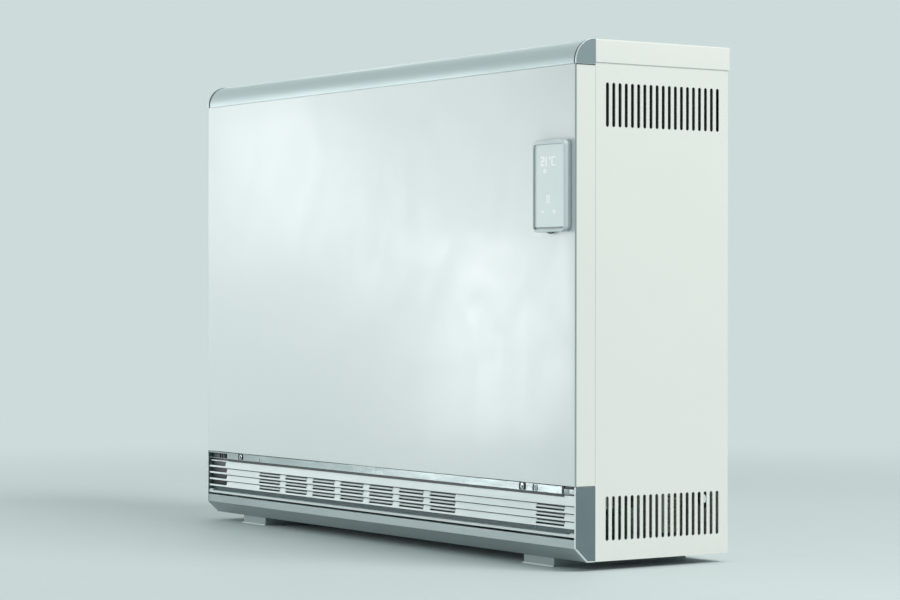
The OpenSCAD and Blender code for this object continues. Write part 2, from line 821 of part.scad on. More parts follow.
module control_base() color(SLATE) {
    seat = ctrl_seam_d;
    low = ctrl_top_h - ctrl_h;
    slot_x = [ctrl_x + release_dx - release_w / 2 - 0.3, ctrl_x + release_dx + release_w / 2 + 0.3];
    difference() {
        ctrl_plate(seat, 0, ctrl_base_inset, ctrl_r - ctrl_base_inset);
        ctrl_plate(seat - 1, -ctrl_wall, ctrl_base_inset + ctrl_wall, ctrl_r - ctrl_base_inset - ctrl_wall);
        rod_y(ctrl_x, ctrl_mid_h, -ctrl_wall - 1, 1, ctrl_cable_r);
        block(slot_x, [-5.3, -2.1], [low - 1, low + ctrl_base_inset + ctrl_wall + 0.5]);
    }
    for (x = ctrl_post_xs, h = ctrl_post_hs)
        rod_y(ctrl_x + x, ctrl_mid_h + h, -ctrl_post_l, -ctrl_wall + eps, 3);
}

// The frame's window, narrowed by a ledge and a fitting gap
module window(ledge, gap) {
    cut = ledge + gap;
    translate([ctrl_x, ctrl_mid_h + (ctrl_bezel_low - ctrl_bezel_top) / 2])
        rounded(ctrl_w - 2 * (ctrl_bezel + cut), ctrl_h - ctrl_bezel_top - ctrl_bezel_low - 2 * cut,
                window_r - cut);
}

module control_frame() color("silver")
    difference() {
        ctrl_plate(-ctrl_proud, ctrl_seam_d, 0, ctrl_r);
        along_y(-ctrl_proud - 1, glass_d + glass_t)
            window(0, 0);
        along_y(-ctrl_proud - 1, ctrl_seam_d + 1)
            window(2, 0);
    }

module control_glass() color([0.85, 0.92, 0.92])
    along_y(glass_d, glass_d + glass_t)
        window(0, 0.1);

module control_display() color(DARK)
    block([ctrl_x - 26, ctrl_x + 26], [glass_d + glass_t + 0.3, ctrl_board_d],
          [ctrl_mid_h - 46, ctrl_mid_h + 44]);

module control_board() color("darkgreen")
    block([ctrl_x - 28, ctrl_x + 28], [ctrl_board_d, -ctrl_post_l], [ctrl_mid_h - 50, ctrl_mid_h + 50]);

// Release button with a rounded lower edge under the unit, held by a shoulder inside; it is pushed up
module release_button() color(DARK) {
    drop = release_drop;
    arc_r = (release_w * release_w / 4 + drop * drop) / (2 * drop);
    along_y(-5, -2.4)
        translate([ctrl_x + release_dx, ctrl_top_h - ctrl_h + ctrl_base_inset]) {
            intersection() {
                translate([0, arc_r - drop])
                    circle(arc_r, $fn = 128);
                translate([-release_w / 2, -drop])
                    square([release_w, drop + ctrl_wall + 0.1]);
            }
            translate([-release_w / 2 - 2, ctrl_wall + 0.05])
                square([release_w + 4, 1.6]);
        }
}

// Core --------------------------------------------------------------------------

// One storage brick with element grooves above and below and two pairs of air channels
module brick(x0, h0) {
    difference() {
        block([x0 + brick_joint / 2, x0 + brick_w - brick_joint / 2], [brick_d0, brick_d1],
              [h0, h0 + brick_h - brick_joint]);
        for (d = leg_ds, h = [h0, h0 + brick_h])
            rod_x(x0 - 1, x0 + brick_w + 1, d, h, groove_r);
        channels(x0, h0 - 1, h0 + brick_h + 1);
    }
}

// Cutter for the two pairs of air channels of the brick whose left end is at x0
module channels(x0, h0, h1)
    for (share = [0.25, 0.75], d = channel_ds)
        translate([x0 + share * brick_w, 0, 0])
            block([-channel_l / 2, channel_l / 2], [d - channel_w / 2, d + channel_w / 2], [h0, h1]);

module storage_bricks() color(BRICK)
    for (i = [0 : brick_columns - 1], j = [0 : brick_layers - 1])
        brick(brick_x0 + i * brick_w, brick_h0 + j * brick_h);

// Openings that line up with the air channels of every brick
module channel_ports(h0, h1)
    for (i = [0 : brick_columns - 1])
        channels(brick_x0 + i * brick_w, h0, h1);

module brick_slab() color(BOARD)
    difference() {
        block([board_x0 + board_side_t, board_x1 - board_side_t], core_d, [table_h, brick_h0]);
        channel_ports(table_h - 1, brick_h0 + 1);
    }

module board_front() color(BOARD)
    block([board_x0, board_x1], [board_front_d, board_front_d + board_front_t], [table_h, board_top_h]);

module board_rear() color(BOARD)
    block([board_x0, board_x1], [board_rear_d, board_rear_d + board_rear_t], [table_h, board_top_h]);

module board_left() color(BOARD)
    block([board_x0, board_x0 + board_side_t], core_d, [table_h, board_top_h]);

// Bores for the element bushes and the sensor through the right-hand sheets
module leg_bores(x0, x1, r, sensor_hole_r) {
    for (d = leg_ds, h = element_hs)
        rod_x(x0, x1, d, h, r);
    rod_x(x0, x1, leg_ds[0], sensor_h, sensor_hole_r);
}

module board_right() color(BOARD)
    difference() {
        block([board_x1 - board_side_t, board_x1], core_d, [table_h, board_top_h]);
        leg_bores(board_x1 - board_side_t - 1, board_x1 + 1, bush_r + 0.1, sensor_r + 0.1);
    }

module board_top() color(BOARD)
    block([board_x0, board_x1], [board_front_d, board_rear_d + board_rear_t],
          [board_top_h, board_top_h + board_top_t]);

module jacket() color(STEEL)
    difference() {
        block([jacket_x0, jacket_x1], [board_front_d, jacket_d1], [table_h, jacket_h1]);
        block([board_x0, board_x1], [board_front_d - 1, jacket_d1 - jacket_t],
              [table_h - 1, jacket_h1 - jacket_t]);
        leg_bores(board_x1 - 1, jacket_x1 + 1, bush_r + 0.1, sensor_r + 0.1);
    }

module jacket_front() color(STEEL)
    block([jacket_x0, jacket_x1], [jacket_d0, board_front_d], [table_h, jacket_h1]);

module core_table() color(STEEL) {
    rear = jacket_d1 + 1;
    difference() {
        block([jacket_x0, jacket_x1], [jacket_d0, rear], [bay_top_h, table_h]);
        channel_ports(bay_top_h - 1, table_h + 1);
    }
    block([jacket_x0, jacket_x0 + table_t], [skirt_d, rear], [floor_t, bay_top_h]);
    block([jacket_x1 - table_t, jacket_x1], [skirt_d, rear], [floor_t, bay_top_h]);
    block([jacket_x0, jacket_x1], [rear - table_t, rear], [floor_t, bay_top_h]);
    block([jacket_x0, duct_x0 - 6], [skirt_d, skirt_d + table_t], [floor_t, bay_top_h]);
    block([motor_x0 + motor_l + 6, jacket_x1], [skirt_d, skirt_d + table_t], [floor_t, bay_top_h]);
}

module heating_elements() color(DARK)
    for (h = element_hs) {
        for (d = leg_ds) {
            rod_x(brick_x0, leg_end_x, d, h - element_drop, element_r);
            rod_x(leg_end_x - eps, leg_end_x + 12, d, h - element_drop, 1.6);
        }
        translate([brick_x0, back(brick_mid_d), up(h - element_drop)])
            rotate(90)
                rotate_extrude(angle = 180)
                    translate([element_pitch / 2, 0])
                        circle(element_r, $fn = 48);
    }

module element_bushes() color("ivory")
    for (d = leg_ds, h = element_hs)
        difference() {
            rod_x(board_x1 - board_side_t, jacket_x1 + bush_proud, d, h, bush_r);
            rod_x(board_x1 - board_side_t - 1, jacket_x1 + bush_proud + 1, d, h, groove_r);
        }

module charge_sensor() color("silver") {
    rod_x(jacket_x1 - 90, jacket_x1 + 12, leg_ds[0], sensor_h, sensor_r);
    rod_x(jacket_x1 + 0.2, jacket_x1 + 4, leg_ds[0], sensor_h, sensor_r + 2);
}

// Blower and duct -----------------------------------------------------------------

module blower_housing() color(STEEL) {
    x0 = duct_x0;
    x1 = duct_x1;
    top = bay_top_h;
    t = duct_t;
    difference() {
        block([x0, x1], [duct_d1, housing_d1], [floor_t, top]);
        block([x0 + t, x1 - t], [duct_d1 - 1, housing_d1 - t], [floor_t - 1, top - t]);
        channel_ports(top - t - 1, top + 1);
        rod_x(x0 - 1, x1 + 1, rotor_d, rotor_h, bush_flange + 0.05);
    }
}

module blower_rotor() color(SATIN) {
    x0 = duct_x0 + disc_gap;
    x1 = duct_x1 - disc_gap;
    disc_t = 2;
    spans = 4;
    step = (x1 - x0 - disc_t) / spans;
    difference() {
        union() {
            for (i = [0 : spans])
                rod_x(x0 + i * step, x0 + i * step + disc_t, rotor_d, rotor_h, rotor_r);
            for (i = [0 : blade_count - 1])
                translate([x0, back(rotor_d), up(rotor_h)])
                    rotate([i * 360 / blade_count, 0, 0])
                        translate([0, rotor_r - 7.2, 0])
                            rotate([28, 0, 0])
                                cube([x1 - x0, 6, 0.8]);
        }
        rod_x(x0 - 1, x1 + 1, rotor_d, rotor_h, shaft_r);
    }
}

module blower_shaft() color("silver")
    rod_x(duct_x0 - 10, motor_x0 + motor_l - 4, rotor_d, rotor_h, shaft_r);

module shaft_bushes() color(DARK)
    for (x = [duct_x0, duct_x1 - duct_t])
        difference() {
            rod_x(x - 3, x + duct_t + 3, rotor_d, rotor_h, bush_flange);
            rod_x(x - 4, x + duct_t + 4, rotor_d, rotor_h, shaft_r + run_gap);
        }

module blower_motor() color(DARK)
    difference() {
        union() {
            rod_x(motor_x0, motor_x0 + motor_l, rotor_d, rotor_h, motor_r);
            rod_x(motor_x0 - 5, motor_x0 + 1, rotor_d, rotor_h, 10);
            block([motor_x0 + 10, motor_x0 + 40], [rotor_d - motor_r - 4, rotor_d],
                  [rotor_h - 14, rotor_h + 14]);
        }
        rod_x(motor_x0 - 6, motor_x0 + motor_l - 3, rotor_d, rotor_h, shaft_r + run_gap);
    }

module motor_bracket() color(STEEL) {
    t = 1.5;
    d0 = rotor_d - 30;
    d1 = rotor_d + 30;
    difference() {
        block([motor_x0 - t, motor_x0], [d0, d1], [floor_t, rotor_h + 26]);
        rod_x(motor_x0 - t - 1, motor_x0 + 1, rotor_d, rotor_h, 10.1);
    }
    block([motor_x0 - t, motor_x0 + 24], [d0, d1], [floor_t, floor_t + t]);
}

module duct_outline(g) {
    polygon([
        [duct_d0 + g, duct_h0 + g], [duct_d1 + (g > 0 ? 1 : 0), duct_h0 + g],
        [duct_d1 + (g > 0 ? 1 : 0), bay_top_h - g], [duct_step_d + g, bay_top_h - g],
        [duct_step_d + g, duct_step_h - g], [duct_d0 + g, duct_step_h - g]
    ]);
}

module outlet_duct() color(STEEL)
    difference() {
        along_x(duct_x0, duct_x1)
            duct_outline(0);
        along_x(duct_x0 + duct_t, duct_x1 - duct_t)
            duct_outline(duct_t);
        block([duct_x0 + 8, duct_x1 - 8], [duct_d0 - 1, duct_d0 + 2], [bands_low_h + 3, bands_top_h - 2]);
        channel_ports(bay_top_h - duct_t - 1, bay_top_h + 1);
        rod_x(duct_x0 - 1, duct_x1 + 1, flap_d, flap_pin_h, flap_pin_r);
    }

// Hinged sheet that hangs from its pin across the duct
module mixing_flap() color(SATIN) {
    h = flap_pin_h;
    eye_l = 30;
    step = (flap_x1 - flap_x0 - eye_l) / 2;
    difference() {
        union() {
            block([flap_x0, flap_x1], [flap_d - duct_t / 2, flap_d + duct_t / 2], [h - flap_l, h]);
            for (i = [0 : 2])
                rod_x(flap_x0 + i * step, flap_x0 + i * step + eye_l, flap_d, h, flap_eye_r);
        }
        rod_x(flap_x0 - 1, flap_x1 + 1, flap_d, h, flap_pin_r + run_gap);
    }
}

module flap_pin() color("silver")
    rod_x(duct_x0 - 2, duct_x1 + 12, flap_d, flap_pin_h, flap_pin_r);

// Temperature-sensing coil on the end of the flap's pin, with its fixed tail
module bimetal_coil() color("peru") {
    difference() {
        rod_x(duct_x1 + 3, duct_x1 + 10, flap_d, flap_pin_h, 9);
        rod_x(duct_x1 + 2, duct_x1 + 11, flap_d, flap_pin_h, flap_pin_r + run_gap);
    }
    block([duct_x1, duct_x1 + 8], [flap_d + 6, flap_d + 12], [flap_pin_h - 1, flap_pin_h + 1]);
}

module lint_filter() color(DARK) {
    x0 = duct_x0 + 2;
    x1 = duct_x1 - 2;
    h1 = duct_h0 - 0.3;
    rim = 4;
    bars = 14;
    pitch = (x1 - x0 - rim) / bars;
    difference() {
        block([x0, x1], [26, 30], [floor_t, h1]);
        for (i = [0 : bars - 1])
            block([x0 + rim + i * pitch, x0 + (i + 1) * pitch], [25, 31], [floor_t + rim, h1 - rim]);
    }
    block([x0 + rim / 2, x1 - rim / 2], [27.8, 28.2], [floor_t + rim / 2, h1 - rim / 2]);
}

// Electrics -------------------------------------------------------------------------

module electrics_plate() color(STEEL) {
    block([plate_x, plate_x + plate_t], plate_d, plate_h);
    for (d = [plate_d[0] + 12, plate_d[1] - 12], h = [plate_h[0] + 14, bay_top_h - 14])
        rod_x(jacket_x1, plate_x + eps, d, h, 4);
}

module terminal_block() color("ivory") {
    x = parts_x;
    d = plate_d[1] - 45;
    h = 24;
    difference() {
        block([x, x + 26], [d, d + 32], [h, h + terminal_count * terminal_pitch + 6]);
        for (i = [0 : terminal_count - 1])
            block([x + 18, x + 27], [d + 4, d + 28],
                  [h + 4 + i * terminal_pitch, h + (i + 1) * terminal_pitch]);
    }
    for (i = [0 : terminal_count - 1])
        rod_x(x + 17, x + 22, d + 16, h + 9 + i * terminal_pitch, 3.5);
}

module power_board() color("darkgreen") {
    x = parts_x;
    block([x + 8, x + 9.6], [58, 150], [16, 128]);
    for (d = [64, 144], h = [22, 122])
        rod_x(x, x + 8 + eps, d, h, 3);
    for (i = [0 : 2])
        block([x + 9.6 - eps, x + 25], [66 + i * 22, 84 + i * 22], [22, 52]);
    for (i = [0 : 1])
        rod_x(x + 9.6 - eps, x + 34, 76 + i * 26, 112, 8);
}

module heat_sink() color("silver") {
    x = parts_x + 9.6;
    d = 64;
    h = [60, 96];
    block([x, x + 4], [d, d + (fin_count - 1) * fin_pitch + fin_t], h);
    for (i = [0 : fin_count - 1])
        block([x + 4 - eps, x + 24], [d + i * fin_pitch, d + i * fin_pitch + fin_t], h);
}

module safety_limiter() color(DARK) {
    x = parts_x;
    difference() {
        block([x, x + limiter_w], [limiter_d - 19, limiter_d + 19], [limiter_h - 13, limiter_h + 13]);
        rod_x(x + limiter_w - reset_well, x + limiter_w + 1, limiter_d, limiter_h, reset_r + run_gap);
    }
}

module reset_button() color("firebrick")
    rod_x(parts_x + limiter_w - reset_well + reset_travel + 0.5, parts_x + limiter_w + 3,
          limiter_d, limiter_h, reset_r);

module cable_grommet() color(DARK)
    difference() {
        union() {
            rod_y(grommet_x, grommet_h, rear_sheet_d - 2, rear_d + 1.2, grommet_bore_r + 2.9);
            rod_y(grommet_x, grommet_h, rear_sheet_d - 2, rear_sheet_d, grommet_bore_r + 5);
            rod_y(grommet_x, grommet_h, rear_d - sheet_t, rear_d + 1.2, grommet_bore_r + 5);
        }
        rod_y(grommet_x, grommet_h, rear_sheet_d - 3, rear_d + 2, grommet_bore_r);
    }

// Fixings -----------------------------------------------------------------------------

module wall_brackets() color(STEEL)
    for (x = bracket_xs)
        difference() {
            block([x - bracket_size[0] / 2, x + bracket_size[0] / 2], [rear_d - sheet_t, rear_d + 0.3],
                  [bracket_h - bracket_size[1] / 2, bracket_h + bracket_size[1] / 2]);
            for (dx = [-1, 1])
                rear_hole(x + dx * bracket_hole_pitch / 2, bracket_h, bracket_hole_r);
        }

module rear_screw(x, h, d)
    translate([x, back(d), up(h)])
        rotate([-90, 0, 0])
            screw(4, 2, 6);

module case_screws() color("silver") {
    for (s = [-1, 1], h = case_screw_hs)
        rear_screw(s * case_screw_x, h, rear_d);
    for (x = lid_screw_xs)
        rear_screw(x, lid_screw_h, case_d);
    for (s = [-1, 1])
        translate([s * panel_screw_x, back(panel_screw_d), up(panel_bottom_h)])
            rotate([180, 0, 0])
                screw(4, 2, 6);
}

module foot_screws() color("silver")
    for (x = foot_xs, s = [-1, 1], d = foot_screw_ds)
        translate([x + s * (foot_w / 2 - foot_screw_inset), back(d), up(floor_t)])
            screw(4, 2, 6);

base_plate();
rear_panel();
side_panel_left();
side_panel_right();
top_cover();
front_panel();
upper_cross_rail();
lower_cross_rail();
top_rail();
top_rail_cap_left();
top_rail_cap_right();
bottom_cap_left();
bottom_cap_right();
base_trim();
foot_left();
foot_right();
outlet_grille();
grille_strip();
grille_latch_left();
grille_latch_right();
control_base();
control_frame();
control_glass();
control_display();
control_board();
release_button();
storage_bricks();
brick_slab();
board_front();
board_rear();
board_left();
board_right();
board_top();
jacket();
jacket_front();
core_table();
heating_elements();
element_bushes();
charge_sensor();
blower_housing();
blower_rotor();
blower_shaft();
shaft_bushes();
blower_motor();
motor_bracket();
outlet_duct();
mixing_flap();
flap_pin();
bimetal_coil();
lint_filter();
electrics_plate();
terminal_block();
power_board();
heat_sink();
safety_limiter();
reset_button();
cable_grommet();
wall_brackets();
case_screws();
foot_screws();
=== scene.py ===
"""Looks of the fan-assisted storage heater: its finishes, eased edges, display, grille fittings, and a plain studio."""
import json
import math

import bmesh
import bpy
from mathutils import Matrix, Vector

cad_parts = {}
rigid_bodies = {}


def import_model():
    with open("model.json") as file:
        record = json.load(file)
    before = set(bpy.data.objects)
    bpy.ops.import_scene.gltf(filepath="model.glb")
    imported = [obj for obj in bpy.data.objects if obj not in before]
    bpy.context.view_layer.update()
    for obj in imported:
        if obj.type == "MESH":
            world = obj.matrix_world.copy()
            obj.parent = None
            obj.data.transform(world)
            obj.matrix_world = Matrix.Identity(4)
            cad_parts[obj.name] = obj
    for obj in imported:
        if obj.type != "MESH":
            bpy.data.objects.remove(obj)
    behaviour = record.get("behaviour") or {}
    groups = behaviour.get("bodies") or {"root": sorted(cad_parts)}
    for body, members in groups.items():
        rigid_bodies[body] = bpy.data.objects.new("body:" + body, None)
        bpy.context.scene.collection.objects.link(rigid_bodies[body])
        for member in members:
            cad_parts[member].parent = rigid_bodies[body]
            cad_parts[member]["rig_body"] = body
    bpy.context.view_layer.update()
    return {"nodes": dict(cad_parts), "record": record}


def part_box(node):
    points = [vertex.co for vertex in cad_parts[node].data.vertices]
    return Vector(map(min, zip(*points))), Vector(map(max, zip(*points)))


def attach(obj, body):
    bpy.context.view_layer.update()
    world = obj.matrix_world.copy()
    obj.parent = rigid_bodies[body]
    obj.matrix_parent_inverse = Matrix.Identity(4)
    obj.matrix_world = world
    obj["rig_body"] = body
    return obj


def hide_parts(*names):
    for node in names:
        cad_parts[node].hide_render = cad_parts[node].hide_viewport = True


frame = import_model()

MM = 0.001
scene = bpy.context.scene
slot_of = {part["node"]: part["material_slot"] for part in frame["record"]["subparts"]}

# Places: x from the casing's left end, d behind the front panel's face, h over the casing's underside, in mm
left_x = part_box("top_cover")[0].x
right_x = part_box("top_cover")[1].x
front_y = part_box("front_panel")[0].y
under_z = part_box("side_panel_right")[0].z


def spot(x, d, h):
    return Vector((left_x + x * MM, front_y + d * MM, under_z + h * MM))


# Camera -----------------------------------------------------------------------

camera_at = Vector((3.1235, -2.0976, 0.345))
camera_yaw = math.radians(55.96)
camera_pitch = math.radians(-0.05)
camera_roll = math.radians(0.05)
image_width_px = 900
focal_px = 2632.7


def make_camera():
    data = bpy.data.cameras.new("camera")
    data.sensor_width = 36
    data.lens = focal_px * data.sensor_width / image_width_px
    camera = bpy.data.objects.new("camera", data)
    turn = (Matrix.Rotation(camera_yaw, 4, "Z")
            @ Matrix.Rotation(math.pi / 2 + camera_pitch, 4, "X")
            @ Matrix.Rotation(camera_roll, 4, "Z"))
    camera.matrix_world = Matrix.Translation(camera_at) @ turn
    scene.collection.objects.link(camera)
    scene.camera = camera


make_camera()


# Finishes ---------------------------------------------------------------------

def linear(red, green, blue):
    """Shader colour of a paint swatch given in 0 to 255 steps."""
    def one(value):
        value /= 255
        return value / 12.92 if value <= 0.04045 else ((value + 0.055) / 1.055) ** 2.4
    return (one(red), one(green), one(blue), 1)


def toned(color, share):
    """The colour made darker or lighter, its channels times the share."""
    return [channel * share for channel in color[:3]] + [1]


class Finish:
    """A material: plain values on its shader, and patterns that vary its colour, gloss and relief."""

    def __init__(self, name, color, roughness, metallic=0.0, **plain):
        self.material = bpy.data.materials.new(name)
        self.material.use_nodes = True
        self.tree = self.material.node_tree
        self.shader = self.tree.nodes["Principled BSDF"]
        self.color = color
        self.normal = None
        values = {"Base Color": color, "Roughness": roughness, "Metallic": metallic, **plain}
        for socket, value in values.items():
            self.shader.inputs[socket].default_value = value

    def node(self, kind, inputs=(), **settings):
        """A shader node with its settings, and its inputs linked or filled in."""
        node = self.tree.nodes.new("ShaderNode" + kind)
        for key, value in settings.items():
            setattr(node, key, value)
        for socket, value in dict(inputs).items():
            if isinstance(value, bpy.types.NodeSocket):
                self.tree.links.new(value, node.inputs[socket])
            else:
                node.inputs[socket].default_value = value
        return node

    def place(self, stretch=(1, 1, 1), turn=(0, 0, 0)):
        """Object coordinates, in metres, stretched and turned."""
        at = self.node("TexCoord").outputs["Object"]
        return self.node("Mapping", {"Vector": at, "Scale": stretch, "Rotation": turn}).outputs[0]

    def noise(self, size_mm, detail, stretch=(1, 1, 1), rough=0.5, twist=0.0):
        inputs = {"Vector": self.place(stretch), "Scale": 1 / (size_mm * MM), "Detail": detail,
                  "Roughness": rough, "Distortion": twist}
        return self.node("TexNoise", inputs).outputs["Fac"]

    def cells(self, size_mm, output="Distance"):
        return self.node("TexVoronoi", {"Vector": self.place(), "Scale": 1 / (size_mm * MM)}).outputs[output]

    def spread(self, value, low, high, start=0.3, end=0.7):
        """Takes a pattern's start and end to low and high."""
        inputs = {"Value": value, "From Min": start, "From Max": end, "To Min": low, "To Max": high}
        return self.node("MapRange", inputs).outputs["Result"]

    def mix(self, factor, dark, light):
        """A blend of two colours, through the colour sockets 6, 7 and 2 of a Mix node."""
        return self.node("Mix", {0: factor, 6: dark, 7: light}, data_type="RGBA").outputs[2]

    def shade(self, factor, share):
        """Lets the colour fall to a share of itself where the factor is 0."""
        self.set("Base Color", self.mix(factor, toned(self.color, share), self.color))

    def set(self, socket, value):
        self.tree.links.new(value, self.shader.inputs[socket])

    def gloss(self, value, low, high):
        """Lets the roughness wander from low to high."""
        self.set("Roughness", self.spread(value, low, high))

    def relief(self, height, depth_mm, strength):
        """Adds a pattern to the relief that the surface has so far."""
        inputs = {"Height": height, "Distance": depth_mm * MM, "Strength": strength}
        if self.normal is not None:
            inputs["Normal"] = self.normal
        self.normal = self.node("Bump", inputs).outputs["Normal"]
        self.set("Normal", self.normal)


def powder_coat(name, color, roughness, peel_mm=0.012):
    """Baked paint on sheet metal: a fine orange peel, and a gloss that wanders a little."""
    paint = Finish(name, color, roughness, **{"Specular IOR Level": 0.5, "Coat Weight": 0.15, "Coat Roughness": 0.12})
    paint.shade(paint.spread(paint.noise(160, 4), 0, 1), 0.985)
    paint.gloss(paint.noise(35, 5), roughness - 0.03, roughness + 0.04)
    paint.relief(paint.noise(1.6, 2), peel_mm, 0.5)
    return paint.material


def anodised(name, color, roughness, metallic, line_mm=0.5):
    """Extruded aluminium, etched and anodised: faint lines along its length."""
    metal = Finish(name, color, roughness, metallic)
    lines = metal.noise(line_mm, 3, (0.004, 1, 1))
    metal.shade(metal.spread(lines, 0, 1), 0.94)
    metal.gloss(metal.noise(18, 4, (0.15, 1, 1)), roughness - 0.04, roughness + 0.05)
    metal.relief(lines, 0.002, 0.2)
    return metal.material


def polished(name, color, roughness):
    """Bright metal with the faintest waviness and wiping marks."""
    metal = Finish(name, color, roughness, 1.0)
    metal.gloss(metal.noise(9, 5, (0.2, 1, 1)), roughness * 0.7, roughness * 1.4)
    metal.relief(metal.noise(7, 2), 0.004, 0.3)
    return metal.material


def galvanised(name, color, roughness):
    """Zinc-coated steel with its crystal spangle, duller and brighter by grain."""
    zinc = Finish(name, color, roughness, 1.0)
    grain = zinc.node("SeparateColor", {"Color": zinc.cells(9, "Color")}).outputs[0]
    zinc.shade(zinc.spread(grain, 0, 1, 0, 1), 0.8)
    zinc.set("Roughness", zinc.spread(grain, roughness - 0.08, roughness + 0.12, 0, 1))
    zinc.relief(zinc.noise(2.5, 4), 0.02, 0.4)
    return zinc.material


def moulded(name, color, roughness, grain_mm=0.35, depth_mm=0.015):
    """Moulded plastic with a spark-eroded grain."""
    plastic = Finish(name, color, roughness, **{"Specular IOR Level": 0.5})
    plastic.shade(plastic.spread(plastic.noise(22, 3), 0, 1), 0.94)
    plastic.gloss(plastic.noise(6, 4), roughness - 0.05, roughness + 0.06)
    plastic.relief(plastic.noise(grain_mm, 3), depth_mm, 0.6)
    return plastic.material


def metal_lacquer(name, color, roughness, metallic):
    """Aluminium-pigment lacquer: a fine flake over a satin ground."""
    paint = Finish(name, color, roughness, metallic, **{"Coat Weight": 0.1, "Coat Roughness": 0.2})
    paint.shade(paint.spread(paint.noise(0.5, 2), 0, 1), 0.95)
    paint.gloss(paint.noise(24, 4), roughness - 0.04, roughness + 0.05)
    paint.relief(paint.noise(1.4, 2), 0.004, 0.3)
    return paint.material


def printed_ink(name, color):
    """Display marks: an even translucent coat, faintly lit from behind."""
    ink = Finish(name, color, 0.45, **{"Specular IOR Level": 0.4, "Emission Color": color, "Emission Strength": 0.3})
    ink.shade(ink.spread(ink.noise(3, 3), 0, 1), 0.97)
    ink.gloss(ink.noise(1.2, 3), 0.4, 0.52)
    return ink.material


def back_painted_glass(name, color):
    """Etched glass, lacquered on its rear: a soft gloss over an even colour, with a faint glow that is painted light
    for the recessed glass.
    """
    glass = Finish(name, color, 0.45, **{"Specular IOR Level": 0.3, "Coat Weight": 0.25, "Coat Roughness": 0.25,
                                         "Emission Color": color, "Emission Strength": 0.07})
    glass.shade(glass.spread(glass.noise(160, 1), 0, 1), 0.995)
    glass.gloss(glass.noise(14, 3), 0.42, 0.48)
    return glass.material


def circuit_board(name, color):
    """Solder mask over a net of copper tracks."""
    board = Finish(name, color, 0.35, **{"Specular IOR Level": 0.6})
    on_board = board.place(turn=(math.pi / 2, 0, math.pi / 2))
    tracks = board.node("TexBrick", {"Vector": on_board, "Scale": 1.0, "Mortar Size": 0.0006, "Brick Width": 0.011,
                                     "Row Height": 0.004}).outputs["Fac"]
    board.set("Base Color", board.mix(tracks, color, toned(color, 2.2)))
    board.relief(tracks, 0.05, 0.5)
    return board.material


def fired_brick(name, color):
    """Pressed magnetite brick: iron-grey speckle, pits and a dusty surface."""
    brick = Finish(name, color, 0.85, **{"Specular IOR Level": 0.3})
    speckle = brick.cells(2.2)
    blotch = brick.noise(26, 6)
    speckled = brick.mix(brick.spread(speckle, 0, 1, 0.1, 0.7), toned(color, 0.45), color)
    brick.set("Base Color", brick.mix(brick.spread(blotch, 0, 1), speckled, toned(color, 1.25)))
    brick.gloss(blotch, 0.75, 0.95)
    brick.relief(speckle, 0.25, 0.5)
    brick.relief(brick.noise(5, 6, rough=0.7), 0.5, 0.6)
    return brick.material


def fibre_board(name, color):
    """Pressed mineral-fibre board: matted fibres and a chalky skin."""
    board = Finish(name, color, 0.92, **{"Specular IOR Level": 0.2, "Sheen Weight": 0.15})
    fibres = board.noise(1.2, 5, (0.3, 1, 0.6), 0.7, 1.5)
    board.shade(board.spread(fibres, 0, 1), 0.82)
    board.relief(fibres, 0.25, 0.6)
    board.relief(board.noise(14, 4), 0.6, 0.4)
    return board.material


def heater_tube(name, color):
    """Heat-resisting steel tube with bands of temper colour and scale."""
    tube = Finish(name, color, 0.42, 0.85)
    bands = tube.noise(24, 3, (1, 0.1, 0.1))
    straw = linear(122, 96, 62)
    tube.set("Base Color", tube.mix(tube.spread(bands, 0, 1, 0.35, 0.65), color, straw))
    tube.gloss(tube.noise(3, 5), 0.34, 0.6)
    tube.relief(tube.noise(0.8, 4), 0.02, 0.5)
    return tube.material


def glazed_ceramic(name, color):
    """Glazed insulator, cloudy and a little uneven."""
    ceramic = Finish(name, color, 0.32, **{"Coat Weight": 0.3, "Coat Roughness": 0.15})
    ceramic.shade(ceramic.spread(ceramic.noise(7, 4), 0, 1), 0.93)
    ceramic.gloss(ceramic.noise(3, 4), 0.26, 0.42)
    ceramic.relief(ceramic.noise(1.1, 4), 0.02, 0.5)
    return ceramic.material


def rubber(name, color):
    """Moulded rubber with a dull, dusty skin."""
    compound = Finish(name, color, 0.75, **{"Specular IOR Level": 0.35, "Sheen Weight": 0.1})
    compound.shade(compound.spread(compound.noise(9, 4), 0, 1), 0.75)
    compound.gloss(compound.noise(4, 4), 0.65, 0.85)
    compound.relief(compound.noise(0.5, 3), 0.03, 0.6)
    return compound.material


